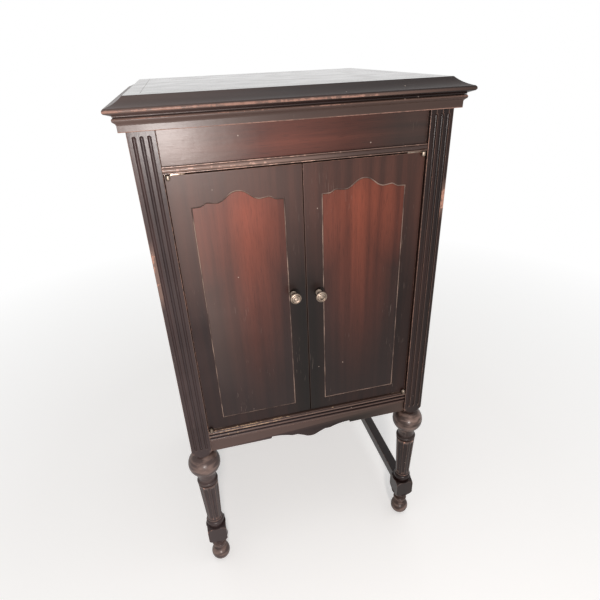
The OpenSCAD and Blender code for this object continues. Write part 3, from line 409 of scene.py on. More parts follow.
def frieze_painted_haze(add):
    """Painted haze of light on the lacquer beside the left post, and a faint one at the right."""
    x = place_in(add, "X")
    left = add("MapRange", (x, -0.07, -0.2, 0.0, 0.6))
    right = add("MapRange", (x, 0.08, 0.2, 0.0, 0.1))
    return add("Math", (left, right), operation="MAXIMUM")


def strip_wear_and_painted_haze(add):
    """The half-round strip is pale at its left: rubbed thin in patches, and painted haze of light
    where the light falls.
    """
    thin = add("MapRange", (place_in(add, "X"), 0.12, -0.22, 0.14, 1.0))
    worn = add("MapRange", (pattern(add, (90, 14, 14), 3.0), 0.3, 0.6, 0.7, 1.0))
    return add("Math", (thin, worn), operation="MULTIPLY")


def door_painted_haze(add):
    """Painted haze of light on the tops of the door frames, thicker towards the left."""
    high = add("MapRange", (place_in(add, "Z"), 0.72, 1.0))
    left = add("MapRange", (place_in(add, "X"), 0.05, -0.22, 0.08, 0.34))
    return add("Math", (high, left), operation="MULTIPLY")


def door_warmth(add):
    """A little of the panels' red in the upper part of the door frames, partly the finish and
    partly painted light on the better lit tops.
    """
    high = add("MapRange", (place_in(add, "Z"), 0.75, 0.98))
    return add("Math", (high, 0.11), operation="MULTIPLY")


def door_middle_darkening(add):
    """Darker lacquer round the knobs and down the middle stiles below them."""
    middle = sunburst(add, 0, 790, 70, 70, mirrored=True)
    across = add("Math", [place_in(add, "X")], operation="ABSOLUTE")
    near = add("MapRange", (across, 0.06, 0.015))
    below = add("MapRange", (place_in(add, "Z"), 0.93, 0.76))
    below = add("Math", (near, below), operation="MULTIPLY")
    touched = add("Math", (middle, below), operation="MAXIMUM")
    return add("Math", (touched, 0.75), operation="MULTIPLY")


def panel_painted_haze(add):
    """Painted haze of light down the left edge of the left panel."""
    left = add("MapRange", (place_in(add, "X"), -0.11, -0.19, 0.0, 0.22))
    high = add("MapRange", (place_in(add, "Z"), 0.55, 0.75))
    return add("Math", (left, high), operation="MULTIPLY")


def apron_painted_shade(add):
    """Painted shade: the apron darkens towards the right leg, where less light reaches it."""
    return add("MapRange", (place_in(add, "X"), 0.0, 0.12, 0.0, 0.85))


def moulding_painted_haze(add):
    """Painted haze of light on the left ends of the mouldings."""
    return add("MapRange", (place_in(add, "X"), 0.0, -0.28, 0.0, 0.22))


def leg_dust(add):
    """Dust lies on bulbs and ball feet, thicker on what faces up."""
    z = place_in(add, "Z")
    bulb = add("MapRange", (z, 0.29, 0.34, 0.0, 0.9))
    ball = add("MapRange", (z, 0.08, 0.05, 0.0, 0.8))
    where = add("Math", (bulb, ball), operation="MAXIMUM")
    facing = add("SeparateXYZ", [add("NewGeometry", out="Normal")], "Z")
    facing = add("MapRange", (facing, -0.6, 0.5, 0.45, 1.0))
    spots = add("MapRange", (pattern(add, (30, 30, 9), 4.0), 0.42, 0.64, 0.15, 0.85))
    lying = add("Math", (facing, spots), operation="MULTIPLY")
    return add("Math", (lying, where), operation="MULTIPLY")


def case_lacquer():
    """Dark lacquered mahogany, grain upright, for posts and sides."""
    return lacquered("aged_mahogany_lacquer", "Z", wear=0.8)


def door_lacquer():
    """Lacquer of the door frames: the film is thinner, and nearly black at the foot."""
    return lacquered("door_frame_lacquer", "Z", glow=door_warmth, wear=0.8, figure=1.1, film=0.1,
                     foot=0.35, dust_and_painted_haze=door_painted_haze, darkening=door_middle_darkening)


def panel_lacquer():
    """Sunburst finish of the door panels: thin red lacquer that darkens downwards."""
    return lacquered("sunburst_panel_lacquer", "Z", glow=panel_glow, foot=0.4, dust_and_painted_haze=panel_painted_haze)


def frieze_lacquer():
    """Frieze under the cornice, with a reddish middle."""
    return lacquered("shaded_frieze_lacquer", "X", glow=frieze_glow, dust_and_painted_haze=frieze_painted_haze)


def strip_lacquer():
    """Lacquer on the strip under the frieze, pale at its left from wear and painted haze of light,
    pink where it is rubbed.
    """
    return lacquered("hazed_strip_lacquer", "X", wear=1.6, chips=1.6, bare="#dbb8a8", film=0.4,
                     dust_and_painted_haze=strip_wear_and_painted_haze)


def moulding_lacquer():
    """Lacquer on the lid edge and cornice, rubbed through along every ridge."""
    return lacquered("rubbed_moulding_lacquer", "X", wear=2.6, chips=1.6, bare="#ac8b7e",
                     figure=0.5, film=0.19, dust_and_painted_haze=moulding_painted_haze)


def bead_lacquer():
    """Lacquer on the base rail's beads, rubbed to golden wood by feet and dusters."""
    return lacquered("golden_bead_lacquer", "X", wear=1.8, chips=2.0, bare="#d8bd9c", film=0.1)


def apron_lacquer():
    """Lacquer of the apron, thin and dull."""
    return lacquered("dull_apron_lacquer", "X", film=0.12, darkening=apron_painted_shade)


def leg_lacquer():
    """Lacquer on the turned legs, greyer from dust and knocks near the floor."""
    return lacquered("knocked_leg_lacquer", "Z", wear=0.2, chips=1.5, polish=0.25, film=0.27,
                     dust_and_painted_haze=leg_dust, line=0.22)


def polished_top():
    """Polished lacquer on top of the lid: it mirrors the room at a low angle."""
    material, add = blank("polished_lid_lacquer")
    figure = pattern(add, along("X", 300, 12), 3.0)
    smears = pattern(add, (60, 60, 60), 3.0)
    crumbs = add("MapRange", (pattern(add, (9, 9, 9), 4.0), 0.5, 0.6))
    edge = add("Attribute", out="Fac", attribute_name="wear")
    rubbed = add("Math", (edge, crumbs), operation="MULTIPLY")
    lines = add("MapRange", (figure, 0.35, 0.65))
    shade = coats_over(add, rgba("#2a1813"), (lines, rgba("#3d241c")), (rubbed, rgba("#7d5442")))
    bump = add("Bump", {"Strength": 0.02, "Distance": 0.0002, "Height": figure})
    rough = add("MapRange", (smears, 0.3, 0.7, 0.09, 0.16))
    add("OutputMaterial", {"Surface": add("BsdfPrincipled", {
        "Base Color": shade, "Roughness": rough, "Normal": bump})}, None)
    return material


def groove_dust_and_glint():
    """Pale line in the panel grooves: chalky filler and dust on bare wood, and partly a painted
    highlight where light catches the groove.
    """
    material, add = blank("dusty_groove_and_painted_glint")
    crumbs = pattern(add, (38, 38, 38), 4.0)
    shade = coats_over(add, rgba("#4d3d37"), (add("MapRange", (crumbs, 0.4, 0.6)), rgba("#917c70")))
    bump = add("Bump", {"Strength": 0.3, "Distance": 0.0004, "Height": crumbs})
    add("OutputMaterial", {"Surface": add("BsdfPrincipled", {
        "Base Color": shade, "Roughness": 0.75, "Normal": bump})}, None)
    return material


def plain_wood(name, grain, light, dark, roughness):
    """Unlacquered board: growth lines, pores and a dry sheen."""
    material, add = blank(name)
    figure = pattern(add, along(grain, 260, 5), 3.0)
    pores = pattern(add, along(grain, 14, 0.8), 1.0)
    stain = pattern(add, (140, 140, 140), 3.0)
    shade = coats_over(
        add, rgba(light), (add("MapRange", (figure, 0.36, 0.64)), rgba(dark)),
        (add("MapRange", (stain, 0.5, 0.75, 0.0, 0.4)), rgba(dark)),
        (add("MapRange", (pores, 0.58, 0.7, 0.0, 0.5)), rgba("#2a1a12")))
    rough = add("MapRange", (figure, 0.3, 0.7, roughness - 0.06, roughness + 0.06))
    bump = add("Bump", {"Strength": 0.35, "Distance": 0.0005, "Height": pores})
    add("OutputMaterial", {"Surface": add("BsdfPrincipled", {
        "Base Color": shade, "Roughness": rough, "Normal": bump})}, None)
    return material


def bare_wood():
    """Unfinished deal inside the case, darkened with age."""
    return plain_wood("unfinished_deal", "Y", "#8a6646", "#6d4c33", 0.7)


def back_wood():
    """Stained plywood of the back panel, grain upright."""
    return plain_wood("stained_back_board", "Z", "#4c372a", "#38271e", 0.62)


def deck_wood():
    """Polished mahogany of the motor board under the turntable."""
    return plain_wood("polished_deck_mahogany", "X", "#6e3b28", "#4c261b", 0.32)


def handle_wood():
    """Ebonised beech of the turned crank handle."""
    return plain_wood("ebonised_handle", "X", "#2c211c", "#1c1512", 0.35)


def metal(name, bright, dull, roughness, blotch, brushed=0.0):
    """Old metal: tarnish clouds over the polish and fine rubbing marks."""
    material, add = blank(name)
    tarnish = pattern(add, (blotch,) * 3, 4.0)
    rubs = pattern(add, (0.6, 0.6, 14), 1.0, (20, 35, 0))
    edge = add("Attribute", out="Fac", attribute_name="wear")
    bright_edge = add("Math", (edge, 0.5), operation="MULTIPLY")
    shade = coats_over(add, rgba(bright), (add("MapRange", (tarnish, 0.38, 0.66)), rgba(dull)),
                       (bright_edge, rgba(bright)))
    rough = add("MapRange", (tarnish, 0.35, 0.7, roughness, roughness + 0.22))
    bump = add("Bump", {"Strength": 0.12 + brushed, "Distance": 0.0003, "Height": rubs})
    add("OutputMaterial", {"Surface": add("BsdfPrincipled", {
        "Base Color": shade, "Metallic": 1.0, "Roughness": rough, "Normal": bump})}, None)
    return material


def pivot_brass():
    """Brass of the pivots in the case, in the gap over the doors, tarnished almost black."""
    return metal("tarnished_pivot_brass", "#5c5048", "#231f1b", 0.5, 6)


def aged_brass():
    """Unpolished brass of knobs, hinges and catches, brown in the hollows."""
    return metal("aged_brass", bpy.context.scene.cabinet_colours.brass, "#4d4238", 0.32, 9)


def gear_brass():
    """Cut brass of the gear wheels, still bright."""
    return metal("cut_gear_brass", "#c9a65c", "#8d7038", 0.28, 25)


def nickel():
    """Nickel plate of arm, spindle and crank, clouded with age."""
    return metal("nickel_plate", "#c9c6bf", "#8f8c85", 0.2, 30)


def turntable_metal():
    """Nickelled rim of the turntable, with marks left by its turning."""
    return metal("turntable_rim_nickel", "#bdbab4", "#86837d", 0.3, 40, 0.1)


def foot_steel():
    """Dull steel of the glides and the needle."""
    return metal("glide_steel", "#8a8a88", "#4f4a45", 0.45, 6)


def coated(name, light, dark, roughness, size, strength):
    """Painted or soft covering with a grain of its own."""
    material, add = blank(name)
    grain = pattern(add, (size,) * 3, 4.0)
    cloud = pattern(add, (60, 60, 60), 2.0)
    shade = coats_over(add, rgba(dark), (add("MapRange", (grain, 0.35, 0.65)), rgba(light)),
                       (add("MapRange", (cloud, 0.5, 0.8, 0.0, 0.35)), rgba(dark)))
    rough = add("MapRange", (grain, 0.3, 0.7, roughness - 0.07, roughness + 0.07))
    bump = add("Bump", {"Strength": strength, "Distance": 0.0004, "Height": grain})
    add("OutputMaterial", {"Surface": add("BsdfPrincipled", {
        "Base Color": shade, "Roughness": rough, "Normal": bump})}, None)
    return material


def green_felt():
    """Woollen felt of the turntable: matt, with fibre tufts about a millimetre long."""
    felt = bpy.context.scene.cabinet_colours.felt
    return coated("green_felt", felt, [c * 0.6 for c in felt], 0.92, 1.2, 0.6)


def black_casting():
    """Japanned iron of motor frame, horn pipe and arm base: glossy black over sand grain."""
    return coated("black_japanned_iron", "#1d1c1b", "#100f0e", 0.35, 2.5, 0.3)


FINISHES = {
    "case": case_lacquer, "door": door_lacquer, "panel": panel_lacquer, "groove": groove_dust_and_glint,
    "frieze": frieze_lacquer, "strip": strip_lacquer, "moulding": moulding_lacquer,
    "bead": bead_lacquer, "apron": apron_lacquer, "leg": leg_lacquer, "top": polished_top,
    "bare": bare_wood, "back": back_wood, "deck": deck_wood, "handle": handle_wood,
    "brass": aged_brass, "pivots": pivot_brass, "gears": gear_brass, "nickel": nickel,
    "rim": turntable_metal, "steel": foot_steel, "felt": green_felt, "iron": black_casting,
}
made_finishes = {}


def coat(finish):
    """The material of that finish, made the first time it is asked for."""
    if finish not in made_finishes:
        made_finishes[finish] = FINISHES[finish]()
    return made_finishes[finish]


def recoat(finish, *names):
    """Gives nodes whose shape is right their finish."""
    for name in names:
        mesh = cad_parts[name].data
        mesh.materials.clear()
        mesh.materials.append(coat(finish))


# ---------- legs, posts and case ----------

# Slot of the record for the case's dark pieces.
MAHOGANY = "dark_lacquered_mahogany"

# Heights on a leg above the floor, and widths, in millimetres.
BLOCK_FOOT, BLOCK_TOP, BLOCK_WIDTH = 86.4, 138.4, 46.0
SHANK_FOOT = 164.4
SHANK_TOP_UNDER_POST = 97.0
STRETCHER_WIDTH = 25.0


def leg_profile(low_z, top_z):
    """Ball foot, neck with a bead, square block, ring, tapered shank, small bead and bulb."""
    pommel_in, pommel_r = 20.2, 13.0
    shank_top = top_z - SHANK_TOP_UNDER_POST
    shank_r, taper, stations = 18, 5.5, 24
    ball = [(0, low_z), *arc(0, 24.9, 23.5, -65.6, 56, 16)]
    neck = [(13, 46), (13, 53.4), *arc(13, 58.4, 5, -78, 78, 8), (13, 64), (13, 76.4)]
    # The block is turned as a drum with rounded shoulders, and sawn square afterwards.
    block = [(19, BLOCK_FOOT - 0.6), (pommel_in, BLOCK_FOOT),
             *arc(pommel_in, BLOCK_FOOT + pommel_r, pommel_r, -88, 0, 14),
             *arc(pommel_in, BLOCK_TOP - pommel_r, pommel_r, 0, 88, 14)]
    ring = [(17.7, BLOCK_TOP + 0.4), (17.5, BLOCK_TOP + 5), *arc(13.3, 151.9, 8.5, -62, 62, 10),
            (18.4, 160.6), (19, 161), (19, 164)]
    shank = [(shank_r + taper * i / stations, SHANK_FOOT + (shank_top - SHANK_FOOT) * i / stations)
             for i in range(stations + 1)]
    bead = [(22.6, shank_top + 0.8), (19.9, shank_top + 1.2), (19.7, shank_top + 2.8),
            *arc(19.5, shank_top + 8, 5, -74, 72, 12), (20.5, top_z - 83.6), (20.5, top_z - 61.6)]
    bulb = [*arc(4, top_z - 32.5, 33, -59, 65, 20), (18, top_z - 2), (18, top_z), (0, top_z)]
    return ball + neck + block + ring + shank + bead + bulb


def fluted(bm, shank):
    """Pulls eight hollow flutes with round ends into the tapered shank between two heights."""
    sector = 2 * pi / 8
    foot_r, head_r = 4.2, 5.6  # of the cutter, which grows with the taper
    lift = 1.6  # how far the cutter's axis lies outside the surface
    gathered = 0.6  # share of a sector's facets that lie in its flute
    start, end = shank[0] + 10, shank[1] - 12  # where the flutes' round ends begin
    for vert in bm.verts:
        radius = hypot(vert.co.x, vert.co.y)
        if not shank[0] - 1 < vert.co.z < shank[1] + 1 or radius < 1:
            continue
        angle = Vector((vert.co.x, vert.co.y)).angle_signed(Vector((1, 0)))
        index = (angle % sector) / sector * 2 - 1
        middle = angle - index * sector / 2
        reach = radius + lift
        t = min(1.0, max(0.0, (vert.co.z - start) / (end - start)))
        full = foot_r + (head_r - foot_r) * t
        beyond = max(start - vert.co.z, vert.co.z - end, 0.0)
        tool = sqrt(max(0.0, full ** 2 - beyond ** 2))
        edge = sqrt(max(0.0, full ** 2 - lift ** 2)) / radius * 2 / sector
        share = abs(index)
        if share < gathered:
            share = share / gathered * edge
        else:
            share = edge + (share - gathered) / (1 - gathered) * (1 - edge)
        off = share * sector / 2 * (1 if index > 0 else -1)
        inside = tool ** 2 - (reach * sin(off)) ** 2
        depth = radius
        if inside > 0:
            depth = min(radius, reach * cos(off) - sqrt(inside))
        vert.co.x, vert.co.y = depth * cos(middle + off), depth * sin(middle + off)


def build_legs(sizes):
    """Four turned legs with fluted shanks, and the stretchers between their blocks."""
    half = BLOCK_WIDTH / 2
    for name in ("leg_front_left", "leg_front_right", "leg_rear_left", "leg_rear_right"):
        low, high = corners(name)
        post_z = corners(name.replace("leg", "post"))[0].z
        centre = (low + high) / 2
        bm = turned(leg_profile(low.z, post_z), sizes.steps)
        fluted(bm, (SHANK_FOOT, post_z - SHANK_TOP_UNDER_POST))
        for vert in bm.verts:
            if BLOCK_FOOT + 1 < vert.co.z < BLOCK_TOP - 1:
                vert.co.x = min(half, max(-half, vert.co.x))
                vert.co.y = min(half, max(-half, vert.co.y))
        bmesh.ops.translate(bm, vec=(centre.x, centre.y, 0), verts=bm.verts)
        finished(bm, name.replace("leg", "turned_leg"), "case", MAHOGANY, [name], "leg",
                 smooth=40, turning=True)
    low, high = corners("stretchers")
    leg = sum(corners("leg_rear_right"), Vector()) / 2
    rail, arris = STRETCHER_WIDTH / 2, 1.6
    bm = bmesh.new()
    for x in (-leg.x, leg.x):
        board(bm, (x - rail, low.y, low.z), (x + rail, leg.y - half, high.z), arris)
    board(bm, (half - leg.x, leg.y - rail, low.z), (leg.x - half, high.y, high.z), arris)
    finished(bm, "rubbed_stretchers", "case", MAHOGANY, ["stretchers"], "leg")
    recoat("steel", "glides")


def post_outline(half, r, pitch, depth_at):
    """Square post section, its front edge dipping into three flutes where they run."""
    land, corner, steps = 0.8, 1.1, 10
    front = []
    for middle in (-pitch, 0, pitch):
        front.append((middle - r - land, -half))
        for k in range(steps + 1):
            x = -r * cos(pi * k / steps) * 0.998
            front.append((middle + x, -half + depth_at(x)))
        front.append((middle + r + land, -half))
    ring = []
    for sx, sy, start in ((1, -1, -90), (1, 1, 0), (-1, 1, 90), (-1, -1, 180)):
        ring += arc(sx * (half - corner), sy * (half - corner), corner, start, start + 90, 3)
    return front + ring


def build_posts(sizes):
    """Four square posts, turned down at the foot to meet the legs, the front two fluted."""
    depth = sizes.flute_depth / MM
    r = sizes.flute_width / MM / 2
    pitch = sizes.flute_pitch / MM
    # Heights between which the outer corner has been knocked bare.
    knocks = {"post_front_left": (800, 890), "post_front_right": (905, 965)}
    free = 99  # a limit that is wider than any post
    for name in ("post_front_left", "post_front_right", "post_rear_left", "post_rear_right"):
        low, high = corners(name)
        half = (high.x - low.x) / 2
        centre = (low + high) / 2
        # The flutes' round ends have their centres here.
        start = low.z + 29
        end = corners("cornice")[0].z - 8 - r
        # Each row is a height and the radius that the section is turned down to.
        turned_foot = ((0, -1.6), (1.4, -0.9), (4, 0.6), (8, 3.4), (13, 7), (17.4, 9.6))
        rows = [(low.z + up, half + limit) for up, limit in turned_foot]
        ends = [r * (1 - cos(pi / 2 * k / 5)) for k in range(6)]
        heights = [low.z + 21, *(start - r + e for e in ends),
                   *(start + (end - start) * k / 24 for k in range(1, 24)),
                   *(end + r - e for e in reversed(ends)), high.z - 0.8, high.z]
        rows += [(z, free) for z in heights]
        sections = []
        for z, limit in rows:
            beyond = max(start - z, z - end, 0.0)
            plain = "rear" in name or not start - r < z < end + r

            def depth_at(x):
                inside = r ** 2 - x ** 2 - beyond ** 2
                return 0.0 if plain or inside <= 0 else max(0.0, sqrt(inside) - (r - depth))

            inset = 0.7 if z == high.z else 0.0
            section = []
            for x, y in post_outline(half, r, pitch, depth_at):
                scale = min(1.0, limit / hypot(x, y)) * (1 - inset / half)
                section.append((centre.x + x * scale, centre.y + y * scale, z))
            sections.append(section)

        def rub(co, amount):
            knock_foot, knock_head = knocks.get(name, (0, 0))
            outer = abs(co.x) > abs(centre.x) + half - 7 and co.y < centre.y
            if outer and knock_foot < co.z < knock_head:
                return 1.0
            # Flute edges: the left post keeps its lacquer; on the right one a pale line runs down
            # one side of each flute, partly dust and partly a painted highlight where that wall
            # faces the light.
            off = (co.x - centre.x) / pitch
            if "front" not in name or abs(off) > 1.4 or co.y > centre.y:
                return amount
            if "left" in name:
                return 0.3 * amount
            return amount if off > round(off) else 0.0

        kind = "fluted_post" if "front" in name else "plain_post"
        finished(swept(sections), name.replace("post", kind), "case", MAHOGANY, [name], "case",
                 smooth=40, rub=rub)


def mitred(section, low, high):
    """Runs a moulding section along the left side, the front and the right side.
    The section's points are (outwards, up); low and high are the case's faces. The front
    has extra stations, so that wear may differ along it."""
    stations = [(-1, low.x, None, high.y), (-1, low.x, low.y, None),
                *((0, x, low.y, None) for x in (-150, 0, 120)),
                (1, high.x, low.y, None), (1, high.x, None, high.y)]
    sections = []
    for side, x, front, back in stations:
        sections.append([(x + side * out, back if front is None else front - out, up)
                         for out, up in section])
    return swept(sections)


def case_faces():
    """Corners of the case at the posts' outer faces."""
    return corners("post_front_left", "post_rear_right")


def build_cornice():
    """Cornice on three sides: from below a tall fillet, a small cove and a bead. It is backed
    by boards over the frieze and over the side panels."""
    low, high = case_faces()
    cornice_low, cornice_high = corners("cornice")
    z, top = cornice_low.z, cornice_high.z
    out = low.x - cornice_low.x
    fillet = out - 5.2
    section = [(0, 0), (fillet, 0), (fillet, 2), (fillet, 9.8),
               *arc(out - 0.2, 9.8, 5, 180, 116, 6)[1:], (out - 2.4, 14.6),
               *arc(out - 3.8, 18.2, 3.8, -62, 88, 10), (0, top - z)]
    bm = mitred([(o, z + up) for o, up in softened(section, 0.8)], low, high)
    clear, arris = 0.2, 0.3
    frieze_low, frieze_high = corners("frieze_panel")
    board(bm, (-frieze_high.x, low.y + clear, z), (frieze_high.x, frieze_low.y, top), arris)
    side_low, side_high = corners("side_panel_right")
    for side in (-1, 1):
        inner, outer = sorted((side * side_high.x, side * (high.x - clear)))
        board(bm, (inner, side_low.y, z), (outer, side_high.y, top), arris)

    def rub(co, amount):
        # The fillet's lower edge is bare, the bead's crest nearly so, the rest a little.
        proud = max(low.x - co.x, co.x - high.x, low.y - co.y)
        if proud < out - 6.5:
            return 0.0
        if co.z < z + 1.6:
            return 1.0
        return 0.8 if co.z > z + 18.5 and proud > out - 0.5 else 0.3

    finished(bm, "cornice_moulding", "case", MAHOGANY, ["cornice"], "moulding", rub=rub)


def build_frieze():
    """Plain board between the posts, under the cornice."""
    low, high = corners("frieze_panel")
    finished(board(bmesh.new(), low, high, 0.5), "frieze", "case", MAHOGANY, ["frieze_panel"],
             "frieze")


def build_strip():
    """Half-round strip with a narrow fillet above and below."""
    low, high = corners("frieze_moulding")
    depth, height = high.y - low.y, high.z - low.z
    fillet, recess = 1.6, 1.2
    r = height / 2 - fillet
    section = [(0, 0), (depth - recess, 0), (depth - recess, fillet),
               *arc(depth - r, height / 2, r, -84, 84, 12), (depth - recess, height - fillet),
               (depth - recess, height), (0, height)]
    section = softened(section, 0.45)
    ends = [[(x, high.y - out, low.z + up) for out, up in section]
            for x in (low.x, -60, 80, high.x)]

    def rub(co, amount):
        # Both fillets are rubbed, and at the left the crown as well.
        near_edge = min(co.z - low.z, high.z - co.z) < fillet + 0.3
        if near_edge and high.y - co.y > depth - 1.6:
            return 1.0 if co.x < 0 else 0.82
        crown = abs(co.z - (low.z + high.z) / 2) < 2.6 and co.x < -50
        return 0.86 if crown else 0.0

    finished(swept(ends), "frieze_strip", "case", MAHOGANY, ["frieze_moulding"], "strip", rub=rub)


def build_base_rail():
    """Rail under the doors with three beads, the top one largest, and a ledge over them."""
    low, high = corners("base_rail")
    thick, ledge = 18.0, 4
    top_r, top_out = 4.6, 5.4
    height = high.z - low.z
    section = [(-thick, 0), (0, 0)]
    # A bead is its radius, its middle's depth below the rail's top, and how far it stands out.
    for r, below, out in ((3.9, 26.4, 3.4), (3.9, 16, 4)):
        up = height - below
        section += [*arc(out - r, up, r, -66, 66, 9), (0, up + r)]
    section += arc(top_out - top_r, height - 5.2, top_r, -62, 62, 9)
    section += [(ledge, height - 1.2), (ledge, height), (-thick, height)]
    section = softened(section, 0.5)
    face = high.y - thick
    ends = [[(x, face - out, low.z + up) for out, up in section]
            for x in (low.x, -75, -40, 120, high.x)]

    def rub(co, amount):
        proud, up = face - co.y, co.z - low.z
        left = co.x < -50
        if up > height - 1.6 and proud > 3:
            return 1.0 if left else 0.6
        # Each bead's crest, and how much of it is rubbed.
        if up > height - 10.5:
            crest, share = top_out, 1.0
        elif up > height - 21:
            crest, share = 4, 0.85
        else:
            crest, share = 3.4, 0.7
        return share * (1.0 if left else 0.78) * max(0.0, 1 - (crest - proud) / 0.6)

    finished(swept(ends), "beaded_rail", "case", MAHOGANY, ["base_rail"], "bead", rub=rub)


def build_apron(sizes):
    """Stepped arch on each side and a round drop in the middle."""
    low, high = corners("apron")
    drop, drop_r, arch_r = 17, 30, 132.5
    half = [*arc(0, drop_r - drop, drop_r, 270, 307, 9), (34, -4), (44, -4),
            *arc(95, 5 - arch_r, arch_r, 111, 90, 10), (97, 0), (high.x, 0)]
    top = high.z - low.z - drop
    outline = half + [(high.x, top), (low.x, top)]
    outline += [(-x, z) for x, z in reversed(half[1:])]
    sections = [[(x, y, low.z + drop + z) for x, z in outline] for y in (high.y, low.y)]
    bm = swept(sections)
    front = [edge for edge in bm.edges if all(vert.co.y < low.y + 0.01 for vert in edge.verts)]
    rounded(bm, front, sizes.arris / MM)
    finished(bm, "shaped_apron", "case", MAHOGANY, ["apron"], "apron")


# ---------- doors ----------

def panel_outline(half, z0, z1):
    """The cut line of a door panel: hump, hollow and shoulder over straight sides. The
    shaped top is drawn for a panel of 163 mm and scaled to this one."""
    scale = half / 81.5
    top = [*arc(0, -4.5, 26.5, 90, 57, 8), *arc(40, 28.7, 24.4, 235, 268, 8),
           *arc(54, -2.6, 9, 108, 48, 5), (66.5, 0.7)]
    top = [(x * scale, z1 + z * scale) for x, z in top]
    middle = (z0 + z1) / 2
    sides = [(half, z1), (half, middle), (half, z0), (0, z0), (-half, z0), (-half, middle),
             (-half, z1)]
    return top + sides + [(-x, z) for x, z in reversed(top[1:])]


def shifted(points, distance):
    """The outline moved sideways, along the mean of the normals of its two sides."""
    made = []
    for i, point in enumerate(points):
        a, b, c = (Vector(points[i - 1]), Vector(point), Vector(points[(i + 1) % len(points)]))
        u, v = (b - a).normalized(), (c - b).normalized()
        mean = Vector((u.y + v.y, -u.x - v.x))
        made.append(b + mean * distance * 2 / mean.length_squared)
    return made


def build_doors(sizes):
    """Two doors, each with a groove cut round its shaped panel. Both are made as the right
    one, and the left one is mirrored."""
    width, depth = sizes.groove_width / MM, sizes.groove_depth / MM
    low, high = corners("door_right")
    # Widths of the frame round the panel, which lies a little nearer the gap.
    side_frame, foot_frame, head_frame, nearer = 35.4, 28.7, 58, 0.6
    centre = (low.x + high.x) / 2 - nearer
    half = (high.x - low.x) / 2 - side_frame
    outline = panel_outline(half, low.z + foot_frame, high.z - head_frame)
    lip, margin, slope = 0.3, 2.1, width / 6
    frame_face, panel_face, groove_face = 0, 1, 2
    # Each inset is (inwards, up, material), from the frame over the groove to the panel.
    steps = [(margin, 0, frame_face), (lip, -lip, frame_face),
             (slope, lip - depth, groove_face), (width - 2 * slope, 0, groove_face),
             (slope, depth - lip, groove_face), (lip, lip, panel_face), (margin, 0, panel_face)]
    for name, body in (("door_right", "right_door"), ("door_left", "left_door")):
        bm = board(bmesh.new(), low, high, sizes.arris / MM)
        # The front is by far the largest of the foremost faces.
        front = min(bm.faces,
                    key=lambda face: face.calc_center_median().y - face.calc_area() * 1e-3)
        bmesh.ops.inset_region(bm, faces=[front], thickness=margin, depth=0)
        edges = list(front.edges)
        bmesh.ops.delete(bm, geom=[front], context="FACES_ONLY")
        ring = [bm.verts.new((centre + x, low.y, z))
                for x, z in shifted(outline, -width / 2 - lip - margin)]
        loop = [bm.edges.new((ring[i - 1], ring[i])) for i in range(len(ring))]
        bmesh.ops.triangle_fill(bm, use_beauty=True, edges=edges + loop, normal=(0, -1, 0))
        panel = bmesh.ops.contextual_create(bm, geom=loop)["faces"][0]
        panel.normal_update()
        if panel.normal.y > 0:
            panel.normal_flip()
        for inwards, up, index in steps:
            made = bmesh.ops.inset_region(bm, faces=[panel], thickness=inwards, depth=up,
                                          use_even_offset=True)["faces"]
            for face in made:
                face.material_index = index
        panel.material_index = panel_face
        if name == "door_left":
            bmesh.ops.scale(bm, vec=(-1, 1, 1), verts=bm.verts)

        def rub(co, amount):
            # The edges where the doors meet are sound below the knobs.
            if abs(co.x) < 5 and co.z < 880:
                return 0.2 * amount
            outer = abs(abs(co.x) - centre) > half + 12
            return amount if outer or not low.z + 16 < co.z < high.z - 12 else 0

        finished(bm, name.replace("door", "panelled_door"), body, "lacquered_mahogany_panel",
                 [name], "door", "panel", "groove", rub=rub)


def build_knobs():
    """Brass knobs: a rose, a stem with a ring, and a head with two turned rings."""
    low, high = corners("knob_right")
    size = high.y - low.y
    head = (high.z - low.z) / 2
    profile = [(0, 0), (6.6, 0), (6.6, 1.8), (5.8, 2.7), (4.6, 3.2), (5.2, 4), (5.2, 4.6),
               (4.2, 5.4), (3.9, 9), (4.3, size - 15), (5.4, size - 11)]
    # The head's points are (inside its rim, behind its face).
    profile += [(head - off, size - back) for off, back in (
        (3.4, 9.4), (1.2, 8.4), (0.1, 6.6), (0, 5.4), (0.3, 4), (1.4, 2.7), (2.4, 2.5), (2.9, 3.1),
        (3.4, 2.4), (4.2, 1.4), (5.2, 0.9), (6, 1.2), (6.6, 1.7), (7.6, 1.1), (8.8, 0.3))]
    profile += [(2, size), (0, size)]
    for name, body in (("knob_right", "right_door"), ("knob_left", "left_door")):
        low, high = corners(name)
        middle = ((low.x + high.x) / 2, high.y, (low.z + high.z) / 2)
        bm = turned(profile, 64)
        bmesh.ops.rotate(bm, matrix=Matrix.Rotation(pi / 2, 3, "X"), verts=bm.verts)
        bmesh.ops.translate(bm, vec=middle, verts=bm.verts)
        finished(bm, name.replace("knob", "turned_knob"), body, "aged_brass", [name], "brass",
                 smooth=50, turning=True)


# ---------- lid ----------

